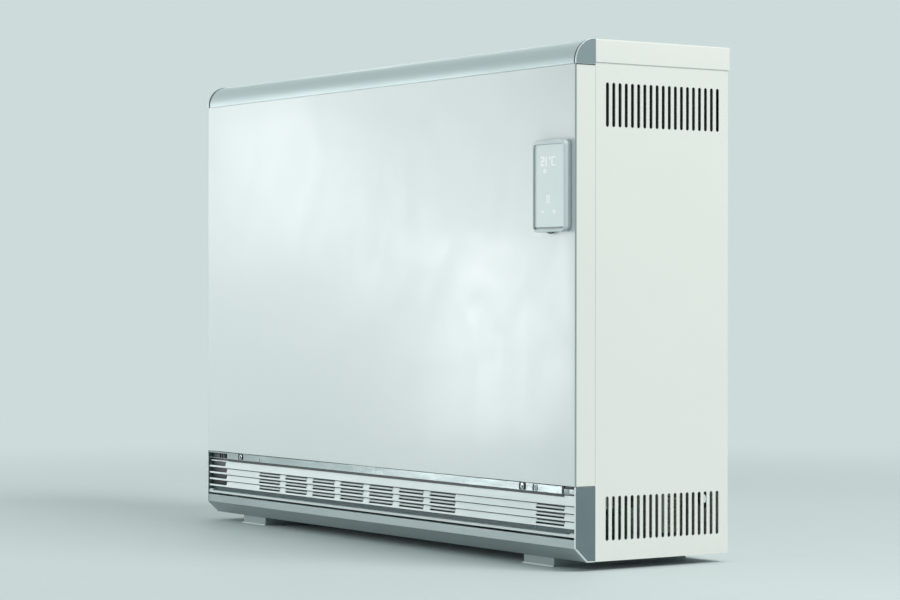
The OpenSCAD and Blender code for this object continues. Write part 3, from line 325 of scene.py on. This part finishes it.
# slot: (how it is made, its colour, and the roughness and other values that this takes)
RECIPES = {
    "white_paint": (powder_coat, linear(234, 236, 230), 0.42),
    "front_white": (powder_coat, linear(231, 238, 236), 0.34),
    "galvanised_sheet": (galvanised, linear(176, 182, 184), 0.38),
    "foot_grey": (powder_coat, linear(152, 168, 168), 0.4),
    "satin_silver": (anodised, linear(203, 215, 216), 0.42, 0.3),
    # trim_silver: the rail's satin aluminium made darker for the base trim, painted shade for the floor's shadow that
    # its face and chamfer reflect.
    "trim_silver": (anodised, linear(160, 171, 172), 0.36, 0.4),
    "grille_silver": (metal_lacquer, linear(218, 229, 227), 0.4, 0.05),
    "bright_silver": (polished, linear(182, 190, 191), 0.15),
    "frame_silver": (metal_lacquer, linear(196, 206, 207), 0.44, 0.1),
    "housing_grey": (moulded, linear(158, 172, 176), 0.34),
    "slate_grey": (moulded, linear(136, 152, 157), 0.34),
    # slate_dark: the top caps' slate plastic made darker for the bottom caps, painted shade for their low place by the
    # shaded floor.
    "slate_dark": (moulded, linear(106, 122, 127), 0.34),
    "dark_plastic": (moulded, linear(24, 29, 31), 0.42),
    "pale_glass": (back_painted_glass, linear(224, 236, 235)),
    "circuit_board": (circuit_board, linear(18, 74, 44)),
    "storage_brick": (fired_brick, linear(96, 84, 78)),
    "insulation_board": (fibre_board, linear(218, 212, 200)),
    "element_sheath": (heater_tube, linear(88, 84, 80)),
    "white_ceramic": (glazed_ceramic, linear(232, 228, 214)),
    "polished_steel": (polished, linear(205, 208, 210), 0.2),
    "rotor_aluminium": (anodised, linear(205, 208, 210), 0.34, 1.0, 0.8),
    "black_rubber": (rubber, linear(30, 31, 32)),
    "motor_black": (powder_coat, linear(40, 41, 43), 0.45, 0.03),
    "bimetal": (anodised, linear(205, 150, 104), 0.3, 1.0, 0.6),
    "signal_red": (moulded, linear(176, 34, 26), 0.3),
}
FINISHES = {slot: make(slot, *values) for slot, (make, *values) in RECIPES.items()}
# Painted shade: a darker copy of the front panel's white, for its rounded bends.
bend_painted_shade = powder_coat("front_white_bend_painted_shade", linear(168, 182, 179), 0.34)
# Painted highlight: a pale silver for the caps' rims and the feet's flange lips, where light catches the edges.
rim_painted_highlight = metal_lacquer("cap_rim_painted_highlight", linear(226, 235, 233), 0.34, 0.1)
display_ink = printed_ink("display_ink", linear(250, 253, 252))

for name, node in frame["nodes"].items():
    node.data.materials.clear()
    node.data.materials.append(FINISHES[slot_of[name]])


# Shaping, in mm on the object's own places ----------------------------------------

HAIR = 1e-6                     # places nearer than this, in metres, count as one
FLAT = math.radians(0.5)        # faces that meet at less than this become one
SHARP = math.radians(30)        # edges that turn more than this stay crisp
DISC_SIDES = 48


def ease(bm, edges, width_mm, segments=2):
    """Breaks these edges, and gives the strips that this makes."""
    return bmesh.ops.bevel(bm, geom=edges, offset=width_mm * MM, offset_type="OFFSET", segments=segments, profile=0.5,
                           affect="EDGES", clamp_overlap=True, material=-1)["faces"]


def is_sharp(edge):
    return len(edge.link_faces) != 2 or edge.calc_face_angle(0) > SHARP


def add_piece(bm, name, body, materials):
    """Stores the finished shape as a piece that rides on a body."""
    mesh = bpy.data.meshes.new(name)
    bm.to_mesh(mesh)
    bm.free()
    for material in materials:
        mesh.materials.append(material)
    piece = bpy.data.objects.new(name, mesh)
    scene.collection.objects.link(piece)
    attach(piece, body)
    return piece


def made(bm, name, body, slot, material=None):
    """Turns the shape into a piece that rides on a body, smooth but for its sharp edges."""
    bmesh.ops.recalc_face_normals(bm, faces=bm.faces)
    for face in bm.faces:
        face.smooth = True
    for edge in bm.edges:
        edge.smooth = not is_sharp(edge)
    add_piece(bm, name, body, [material or FINISHES[slot]])


def add_block(bm, x, d, h, edge_mm=0.0, segments=2):
    """A box over three ranges, with its edges broken where a width is given."""
    low, high = spot(x[0], d[0], h[0]), spot(x[1], d[1], h[1])
    matrix = Matrix.Translation((low + high) / 2) @ Matrix.Diagonal((*(high - low), 1))
    verts = bmesh.ops.create_cube(bm, size=1, matrix=matrix)["verts"]
    if edge_mm:
        ease(bm, list({edge for vert in verts for edge in vert.link_edges}), edge_mm, segments)


def add_disc(bm, x, d, h, radius, edge_mm):
    """A round plate facing the front, from depth d[0] to d[1], with its front edge broken."""
    matrix = Matrix.Translation(spot(x, (d[0] + d[1]) / 2, h)) @ Matrix.Rotation(math.pi / 2, 4, "X")
    verts = bmesh.ops.create_cone(bm, cap_ends=True, segments=DISC_SIDES, radius1=radius * MM, radius2=radius * MM,
                                  depth=(d[1] - d[0]) * MM, matrix=matrix)["verts"]
    front = [edge for edge in {e for v in verts for e in v.link_edges}
             if all(v.co.y < spot(x, d[0], h).y + HAIR for v in edge.verts)]
    ease(bm, front, edge_mm, 3)


def add_arc(bm, x, d, h, radii, start_deg, sweep_deg, steps=20):
    """A bowed band round (x, h), turned anticlockwise as the front is seen, from depth d[0] to d[1]."""
    centre = spot(x, 0, h)
    ray = Matrix.Rotation(math.radians(start_deg), 3, (0, -1, 0)) @ Vector((1, 0, 0))
    corners = [bm.verts.new(centre + ray * radius * MM + Vector((0, depth * MM, 0)))
               for radius, depth in ((radii[0], d[0]), (radii[1], d[0]), (radii[1], d[1]), (radii[0], d[1]))]
    face = bm.faces.new(corners)
    whole = abs(sweep_deg) >= 360
    bmesh.ops.spin(bm, geom=corners + list(face.edges) + [face], cent=centre, axis=(0, -1, 0),
                   angle=math.radians(sweep_deg), steps=steps, use_merge=whole)
    if whole:
        # The face that was spun is left inside a closed ring
        across = ray.cross((0, 1, 0))
        inner = [f for f in bm.faces if abs(f.normal.dot(across)) > 0.999
                 and all((v.co - centre).dot(ray) > 0 and abs((v.co - centre).dot(across)) < HAIR for v in f.verts)]
        bmesh.ops.delete(bm, geom=inner, context="FACES_ONLY")


def add_bars(bm, xs, d, h, width_mm):
    """Upright bars round the places xs."""
    for x in xs:
        add_block(bm, (x - width_mm / 2, x + width_mm / 2), d, h)


def steps_between(start, end, pitch):
    """Places a pitch apart, centred between start and end."""
    count = int((end - start) // pitch)
    return [start + (end - start - count * pitch) / 2 + i * pitch for i in range(count + 1)]


# Eased pieces -------------------------------------------------------------------

def eased(node, width_mm, tones=(), border_mm=0.0):
    """Stands for a CAD piece with its sharp edges broken. Tones are (test of a face, material) pairs: here painted
    shade on bends and painted highlights on rims.
    A border parts a strip off the faces at the casing's ends, which takes a painted highlight on the bottom caps."""
    source = frame["nodes"][node]
    bm = bmesh.new()
    bm.from_mesh(source.data)
    bmesh.ops.remove_doubles(bm, verts=bm.verts, dist=HAIR)
    bmesh.ops.dissolve_limit(bm, angle_limit=FLAT, verts=bm.verts, edges=bm.edges)
    strips = set(ease(bm, [edge for edge in bm.edges if is_sharp(edge)], width_mm))
    bm.normal_update()
    if border_mm:
        ends = [face for face in bm.faces if abs(face.normal.x) > 0.99
                and abs(abs(face.calc_center_median().x) - right_x) < 0.1 * MM]
        bmesh.ops.inset_individual(bm, faces=ends, thickness=border_mm * MM, use_even_offset=True)
        bm.normal_update()
    for face in bm.faces:
        face.smooth = True
        face.material_index = next((i + 1 for i, (fits, _) in enumerate(tones) if fits(face)), 0)
    for edge in bm.edges:
        edge.smooth = not is_sharp(edge) and len({face in strips for face in edge.link_faces}) == 1
    slot = slot_of[node]
    materials = [FINISHES[slot], *(material for _, material in tones)]
    piece = add_piece(bm, node + "_eased", source["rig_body"], materials)
    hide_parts(node)


def on_bend(face):
    """Rounded over from the front to a side."""
    return abs(face.normal.x) > 0.2 and face.normal.y < -0.2 and abs(face.normal.z) < 0.3


def on_return(face):
    """Facing a side: the front panel's side returns."""
    return abs(face.normal.x) > 0.9


def off_side(face):
    """All but an end cap's flat end face."""
    return abs(face.normal.x) < 0.97


# A bottom cap's slanted edge runs from chamfer_d behind its front to chamfer_h over the casing's underside, where
# d * chamfer_h + h * chamfer_d is 318.4. The border's faces have their middle where that sum is under slant_limit,
# which is 1.6 mm inside the edge, or lower than border_h.
# The border takes a painted highlight.
chamfer_d, chamfer_h = 18.3, 17.4
slant_limit = 358
border_h = 1.5


def on_foot_rim(face):
    """The narrow border of a bottom cap's end face along its slanted and lower edges, for a painted highlight."""
    at = (face.calc_center_median() - spot(0, 0, 0)) / MM
    return abs(face.normal.x) > 0.9 and (at.y * chamfer_h + at.z * chamfer_d < slant_limit or at.z < border_h)


def on_flange_lip(face):
    """The front edge of a foot rail's flange on the floor, for a painted highlight."""
    return face.normal.y < -0.3 and face.calc_center_median().z < 2 * MM


# Painted shade on the front panel's rounded bends; its side returns take the side panels' white.
PANEL_BENDS = ((on_bend, bend_painted_shade), (on_return, FINISHES["white_paint"]))
# Painted highlight: all of a cap but its flat end face, and a bottom cap's border, take the pale silver; a bottom cap's
# bend keeps its slate.
CAP_RIM = ((on_bend, FINISHES["slate_dark"]), (on_foot_rim, rim_painted_highlight), (off_side, rim_painted_highlight))
TOP_CAP_RIM = ((off_side, rim_painted_highlight),)
FOOT_LIP = ((on_flange_lip, rim_painted_highlight),)

EASED = {
    # node: (width of the broken edges, tones, width of the border)
    "front_panel": (0.35, PANEL_BENDS), "top_cover": (0.5,), "side_panel_left": (0.3,), "side_panel_right": (0.3,),
    "rear_panel": (0.3,), "top_rail": (0.35,), "base_trim": (0.35,), "outlet_grille": (0.2,), "grille_strip": (0.5,),
    "top_rail_cap_left": (0.9, TOP_CAP_RIM), "top_rail_cap_right": (0.9, TOP_CAP_RIM),
    "bottom_cap_left": (0.8, CAP_RIM, 1.3), "bottom_cap_right": (0.8, CAP_RIM, 1.3),
    "control_frame": (0.7,), "control_base": (0.4,), "control_glass": (0.2,), "release_button": (0.3,),
    "grille_latch_left": (0.3,), "grille_latch_right": (0.3,),
    "foot_left": (0.3, FOOT_LIP), "foot_right": (0.3, FOOT_LIP),
    "wall_brackets": (0.3,), "cable_grommet": (0.5,),
}
for node, how in EASED.items():
    eased(node, *how)


# Grille fittings ------------------------------------------------------------------

strip_mid_h = 90.05
stud_x, stud_h = 869.5, 89.8
bands_top_h, band_h = 80.7, 9.7
band_tops = [bands_top_h - band_h * i for i in range(1, 4)]     # of the lower three bands, which have the slots
first_slots_x, slots_pitch, last_slots_x = 157.1, 77.3, 866.6
slot_groups = [first_slots_x + slots_pitch * i for i in range(7)] + [last_slots_x]


def make_slats():
    """Pressed ribs that stiffen the metal between the two slots of a band."""
    rib_drop, rib_half = 3.88, 1.05
    bm = bmesh.new()
    for x in slot_groups:
        for top in band_tops:
            middle = top - rib_drop
            add_block(bm, (x + 0.2, x + 60.8), (2.15, 3.3), (middle - rib_half, middle + rib_half), 0.5, 3)
    made(bm, "grille_slats", "outlet_grille", "grille_silver")


def make_painted_step_shadows():
    """Painted shade: dark strips in the step under the glossy strip and under each louvre lip, where shadow falls."""
    bm = bmesh.new()
    add_block(bm, (62, 924.4), (2.2, 4.1), (81.5, 85.4))
    for top in band_tops:
        add_block(bm, (58, 950.5), (2.6, 4.1), (top - 1.3, top + 0.1))
    made(bm, "step_painted_shadows", "outlet_grille", "dark_plastic")


def make_gauze(name, x, d, h, pitch, wire, slot):
    """Fine upright wires on a closed backing, which they reach into. Its dark colour is painted shade that darkens the
    recess or slots behind it.
    """
    backing_front, wire_back = d[0] + 0.5, d[0] + 0.6
    bm = bmesh.new()
    add_block(bm, x, (backing_front, d[1]), h)
    add_bars(bm, steps_between(x[0] + wire, x[1] - wire, pitch), (d[0], wire_back), h, wire)
    made(bm, name, "outlet_grille", slot)


def make_painted_end_shade():
    """Dark liner with upright webs behind the openings beside the left end cap; its dark is painted shade that darkens
    the openings.
    """
    web_xs, web_d, web_low, web_mm = (31, 38.5, 46, 50.5), (4.2, 5.8), 85.5, 1.1
    bm = bmesh.new()
    add_block(bm, (5.5, 64), (5.6, 6.6), (44, 94.2), 0.3)
    add_bars(bm, web_xs, web_d, (web_low, 93.5), web_mm)
    add_block(bm, web_xs[2:], web_d, (web_low, 86.6))
    made(bm, "end_liner_painted_shade", "outlet_grille", "dark_plastic")


def make_latch_fittings(side, x):
    """Two dark crescents in the pocket round a fastener, painted shade, and on the fastener its bright face with a
    pointer.
    """
    body = "latch_" + side
    pocket_shade = bmesh.new()
    for start in (-36, 144):
        add_arc(pocket_shade, x, (1.3, 3.9), strip_mid_h, (4.4, 7.9), start, 72)
    made(pocket_shade, "latch_pocket_painted_shade_" + side, "outlet_grille", "dark_plastic")
    face = bmesh.new()
    add_disc(face, x, (0.1, 0.9), strip_mid_h, 4.0, 0.25)
    made(face, "latch_face_" + side, body, "bright_silver")
    pointer = bmesh.new()
    matrix = Matrix.Translation(spot(x + 0.9, 0.05, strip_mid_h)) @ Matrix.Rotation(math.pi / 2, 4, "X")
    bmesh.ops.create_cone(pointer, cap_ends=True, segments=3, radius1=2.9 * MM, radius2=2.9 * MM, depth=0.3 * MM,
                          matrix=matrix @ Matrix.Rotation(-math.pi / 2, 4, "Z"))
    made(pointer, "latch_pointer_" + side, body, "dark_plastic")


def make_strip_marks():
    """A tick that the left fastener points to, and the fixed stud beside the right one."""
    bm = bmesh.new()
    add_block(bm, (160.2, 161.6), (0.7, 1.6), (85.8, 91.2), 0.25)
    add_arc(bm, stud_x, (0.6, 1.6), stud_h, (5.6, 8.4), 145, 70)
    for start in (-60, 120):
        add_arc(bm, stud_x, (0.6, 1.2), stud_h, (2.8, 3.7), start, 100)
    made(bm, "strip_marks", "outlet_grille", "dark_plastic")
    stud = bmesh.new()
    add_disc(stud, stud_x, (0.7, 2.0), stud_h, 4.6, 0.4)
    made(stud, "strip_stud", "outlet_grille", "housing_grey")


def make_strip_end():
    """Guide roller and stop block at the right end of the glossy strip, with painted shade, dark pieces, in the gap
    round them.
    """
    gap_x, fitting_d = (927.5, 950.4), (1.3, 3.4)
    shade = bmesh.new()
    add_arc(shade, 932.8, (1.2, 4.2), 89.6, (6.2, 9.2), 138, 84)
    add_block(shade, gap_x, (2.2, 4.2), (92.4, 94.9), 0.3)
    add_block(shade, gap_x, (3.2, 4.2), (83.5, 92.6))
    made(shade, "strip_end_shade", "outlet_grille", "dark_plastic")
    roller = bmesh.new()
    add_block(roller, (927.6, 938.8), fitting_d, (84.6, 92.2), 0.8, 3)
    made(roller, "strip_roller", "outlet_grille", "housing_grey")
    stop = bmesh.new()
    add_block(stop, (939.2, 950.2), fitting_d, (85.8, 92.0), 0.5)
    made(stop, "strip_stop", "outlet_grille", "front_white")


make_slats()
make_painted_step_shadows()
# Painted shade: dark gauze darkens the intake recess and the outlet slots.
make_gauze("intake_gauze_painted_shade", (4.4, 950.6), (7.1, 7.95), (34.8, 41.7), 3.2, 1.0, "slate_dark")
make_gauze("outlet_gauze_painted_shade", (150, 936), (5.7, 6.5), (42.6, 79), 2.4, 0.7, "dark_plastic")
make_painted_end_shade()
make_latch_fittings("left", 103)
make_latch_fittings("right", 839)
make_strip_marks()
make_strip_end()


# Seals, and black strips that paint the shade in the joints at the rail's caps -----------------------

SIDES = ("left", "right")
case_w = 955


def mirrored(x, side):
    """An x range given for the right-hand side, or its twin on the left."""
    return x if side == "right" else (case_w - x[1], case_w - x[0])


def verts_in(geom):
    """The vertices among what an operator returns."""
    return [item for item in geom if isinstance(item, bmesh.types.BMVert)]


def make_rail_joint_shade(side):
    """Soft black lip between the rail and its end cap, a little proud of the rail's curve; its black is painted shade
    in the joint.
    """
    x = mirrored((949.8, 951.9), side)
    rail_d, rail_h = 30, 630
    outer, inner, foot_mm = 29.8, 27.4, 2.6
    bm = bmesh.new()
    centre = spot(x[0], rail_d, rail_h)
    start = [bm.verts.new(centre + Vector((0, -radius * MM, 0))) for radius in (outer, inner)]
    bm.edges.new(start)
    bmesh.ops.spin(bm, geom=start + bm.edges[:], cent=centre, axis=(1, 0, 0), angle=-math.pi / 2, steps=24)
    foot = [edge for edge in bm.edges if all(abs(v.co.z - centre.z) < HAIR for v in edge.verts)]
    for vert in verts_in(bmesh.ops.extrude_edge_only(bm, edges=foot)["geom"]):
        vert.co.z -= foot_mm * MM
    wall = bmesh.ops.extrude_face_region(bm, geom=bm.faces[:])["geom"]
    bmesh.ops.translate(bm, vec=((x[1] - x[0]) * MM, 0, 0), verts=verts_in(wall))
    made(bm, "rail_seal_painted_shade_" + side, "heater_case", "black_rubber")


GASKETS = (
    # name, x on the right-hand side, d, h, width of the broken edges, slot
    # Painted shade: a black strip under the rail's cap, where its shadow falls.
    ("cap_joint_painted_shade_", (953.2, 954.7), (0.9, 30.9), (626.2, 627.3), 0.15, "black_rubber"),
    ("lid_gasket_", (953.4, 954.7), (31.8, 248.3), (630.1, 630.7), 0.15, "white_paint"),
    ("return_gasket_", (952.6, 953.9), (30.9, 31.5), (97, 625), 0, "slate_dark"),
)


def make_gasket(side, name, x, d, h, edge_mm, slot):
    """A straight strip in a joint of the casing: under the rail's cap, under the lid, or behind the front panel."""
    bm = bmesh.new()
    add_block(bm, mirrored(x, side), d, h, edge_mm)
    made(bm, name + side, "heater_case", slot)


for side in SIDES:
    make_rail_joint_shade(side)
    for gasket in GASKETS:
        make_gasket(side, *gasket)


# Side vents: an insect screen with a dark backing behind the upper row, painted shade for the slots ---------

def make_vent_backing_shade(side):
    """Upright wires on a closed dark backing: painted shade behind the slots."""
    screen_h, wire_pitch, wire_half = (546, 609), 3.0, 0.4
    bm = bmesh.new()
    add_block(bm, mirrored((947.5, 948.0), side), (40, 240), screen_h)
    for d in steps_between(41, 239, wire_pitch):
        add_block(bm, mirrored((947.9, 948.4), side), (d - wire_half, d + wire_half), screen_h)
    made(bm, "vent_screen_painted_shade_" + side, "heater_case", "dark_plastic")


for side in SIDES:
    make_vent_backing_shade(side)


# Display ---------------------------------------------------------------------------

glass_d = (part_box("control_glass")[0].y - front_y) / MM
ink_d = (glass_d - 0.12, glass_d + 0.05)
digit_h, digit_tall, bar_mm = 500.2, 11.4, 1.5
BARS = {"2": "abged", "1": "i", "C": "afed"}


def add_digit(bm, glyph, x, w):
    """A digit of up to seven bars from x on. Its bars meet end to end and don't overlap."""
    low, high = (digit_tall - bar_mm) / 2, (digit_tall + bar_mm) / 2
    top, right = digit_tall - bar_mm, w - bar_mm
    places = {"a": ((0, w), (top, digit_tall)), "g": ((0, w), (low, high)), "d": ((0, w), (0, bar_mm)),
              "b": ((right, w), (high, top)), "f": ((0, bar_mm), (low, top)),
              "e": ((0, bar_mm), (bar_mm, low)), "i": ((right, w), (0, digit_tall))}
    for bar in BARS[glyph]:
        across, up = places[bar]
        add_block(bm, (x + across[0], x + across[1]), ink_d, (digit_h + up[0], digit_h + up[1]))


def make_display():
    """A room temperature, a clock, a heat symbol, and the two touch marks."""
    bm = bmesh.new()
    add_digit(bm, "2", 894.4, 6.6)
    add_digit(bm, "1", 899.8, 6.6)
    add_arc(bm, 912.6, ink_d, 510.0, (0.6, 1.7), 0, 360, 16)
    add_digit(bm, "C", 917.4, 7.6)
    # Clock: its rim and two hands
    add_arc(bm, 902.6, ink_d, 493.6, (2.0, 2.8), 0, 360, 24)
    add_block(bm, (902.2, 903.0), ink_d, (493.4, 495.6))
    add_block(bm, (902.4, 904.4), ink_d, (493.2, 494.0))
    # Heat: three rising waves, each of two bows, over a bar
    first_wave_x, wave_pitch, wave_radii = 906.4, 2.9, (2.0, 2.7)
    for i in range(3):
        x = first_wave_x + wave_pitch * i
        add_arc(bm, x - 1.6, ink_d, 457.2, wave_radii, -50, 100, 8)
        add_arc(bm, x + 2.0, ink_d, 461.0, wave_radii, 130, 100, 8)
    add_block(bm, (904.6, 914.8), ink_d, (453.6, 454.4))
    # Minus and plus
    level_bar_h = (441.6, 442.6)
    for level_bar_x in ((894.6, 900.8), (919.0, 925.2)):
        add_block(bm, level_bar_x, ink_d, level_bar_h)
    add_block(bm, (921.6, 922.6), ink_d, (439.0, 445.2))
    made(bm, "display_marks", "heater_case", "front_white", display_ink)


def make_glass_edge_shade():
    """Painted shade: a dark strip along the lower edge of the glass, where the frame shades it."""
    bm = bmesh.new()
    add_block(bm, (881.2, 944.4), (glass_d - 0.1, glass_d + 0.2), (420.6, 422.7))
    made(bm, "glass_edge_painted_shade", "heater_case", "slate_dark")


make_display()
make_glass_edge_shade()


# Studio -------------------------------------------------------------------------

backdrop = linear(205, 219, 219)
cool_white = (0.98, 1, 1)
panel_middle = (0, -0.12, 0.33)
panel_slant = (1.1, -0.3, -0.68)     # how the two lamps lean that the front panel mirrors towards the camera


def camera_or_mirror_ray(tree):
    """1 for what the camera, a mirror or a glass sees, 0 for light that only falls on a surface."""
    path = tree.nodes.new("ShaderNodeLightPath")
    total = path.outputs["Is Camera Ray"]
    for ray in ("Is Glossy Ray", "Is Transmission Ray"):
        add = tree.nodes.new("ShaderNodeMath")
        add.operation = "MAXIMUM"
        tree.links.new(total, add.inputs[0])
        tree.links.new(path.outputs[ray], add.inputs[1])
        total = add.outputs[0]
    return total


def make_world(ambient, strength):
    """Even light from all round. The camera, mirrors and glass see the backdrop's colour instead."""
    world = bpy.data.worlds.new("studio")
    scene.world = world
    world.use_nodes = True
    tree = world.node_tree
    seen = camera_or_mirror_ray(tree)
    fill = tree.nodes["Background"]
    fill.inputs["Color"].default_value = ambient
    fill.inputs["Strength"].default_value = strength
    wall = tree.nodes.new("ShaderNodeBackground")
    wall.inputs["Color"].default_value = backdrop
    wall.inputs["Strength"].default_value = 1
    choose = tree.nodes.new("ShaderNodeMixShader")
    tree.links.new(seen, choose.inputs[0])
    tree.links.new(fill.outputs[0], choose.inputs[1])
    tree.links.new(wall.outputs[0], choose.inputs[2])
    tree.links.new(choose.outputs[0], tree.nodes["World Output"].inputs["Surface"])


def make_floor(color, near_m, far_m):
    """A pale sweep: lit floor under the heater that runs out into the backdrop's colour."""
    half_side_m = 30
    bm = bmesh.new()
    bmesh.ops.create_grid(bm, x_segments=1, y_segments=1, size=half_side_m)
    mesh = bpy.data.meshes.new("floor")
    bm.to_mesh(mesh)
    bm.free()
    floor = bpy.data.objects.new("floor", mesh)
    scene.collection.objects.link(floor)
    sweep = Finish("floor", color, 0.6, **{"Specular IOR Level": 0.2})
    sweep.gloss(sweep.noise(40, 3), 0.55, 0.65)
    away = sweep.node("VectorMath", {0: sweep.place()}, operation="LENGTH").outputs["Value"]
    fade = sweep.node("MapRange", {"Value": away, "From Min": near_m, "From Max": far_m},
                      interpolation_type="SMOOTHSTEP").outputs["Result"]
    glow = sweep.node("Emission", {"Color": backdrop, "Strength": 1})
    clear = sweep.node("BsdfTransparent")
    far = sweep.node("MixShader", {0: camera_or_mirror_ray(sweep.tree), 1: clear.outputs[0], 2: glow.outputs[0]})
    whole = sweep.node("MixShader", {0: fade, 1: sweep.shader.outputs[0], 2: far.outputs[0]})
    sweep.tree.links.new(whole.outputs[0], sweep.tree.nodes["Material Output"].inputs["Surface"])
    mesh.materials.append(sweep.material)


def area_light(name, at, towards, width, height, power, color=cool_white, along=(1, 0, 0)):
    """A softbox that faces a point, its width along a direction."""
    data = bpy.data.lights.new(name, "AREA")
    data.shape = "RECTANGLE"
    data.size = width
    data.size_y = height
    data.energy = power
    data.color = color
    light = bpy.data.objects.new(name, data)
    rear = (Vector(at) - Vector(towards)).normalized()
    side = Vector(along)
    side = (side - rear * side.dot(rear)).normalized()
    light.matrix_world = Matrix.Translation(at) @ Matrix((side, rear.cross(side), rear)).transposed().to_4x4()
    light.visible_camera = False
    scene.collection.objects.link(light)


scene.view_settings.view_transform = "Standard"
make_world(linear(226, 236, 236), 0.52)
make_floor(linear(216, 226, 226), 0.9, 2.6)
area_light("key", (3.0, 0.9, 3.2), (0, 0, 0.3), 2.4, 2.4, 109, (1, 1, 0.985))
area_light("sheen", (-2.18, -1.6, 0.4), panel_middle, 1.25, 0.3, 3.5, along=panel_slant)
area_light("front_fill", (-1.98, -1.74, 0.8), panel_middle, 1.6, 0.9, 8.2, along=panel_slant)
area_light("upper_left", (-3.14, -1.6, 0.65), (-0.46, -0.12, 0.52), 0.45, 0.45, 2.2)
area_light("lower_right", (-1.67, -1.6, 0.26), (0.38, -0.12, 0.2), 0.45, 0.45, 4.8)
area_light("upper_right", (-1.62, -1.6, 0.72), (0.4, -0.12, 0.55), 0.4, 0.4, 1.1)
area_light("rail_light", (-3.3, 1.7, 2.2), (0, -0.1, 0.66), 1.2, 0.9, 6, along=(1, 2, 0))
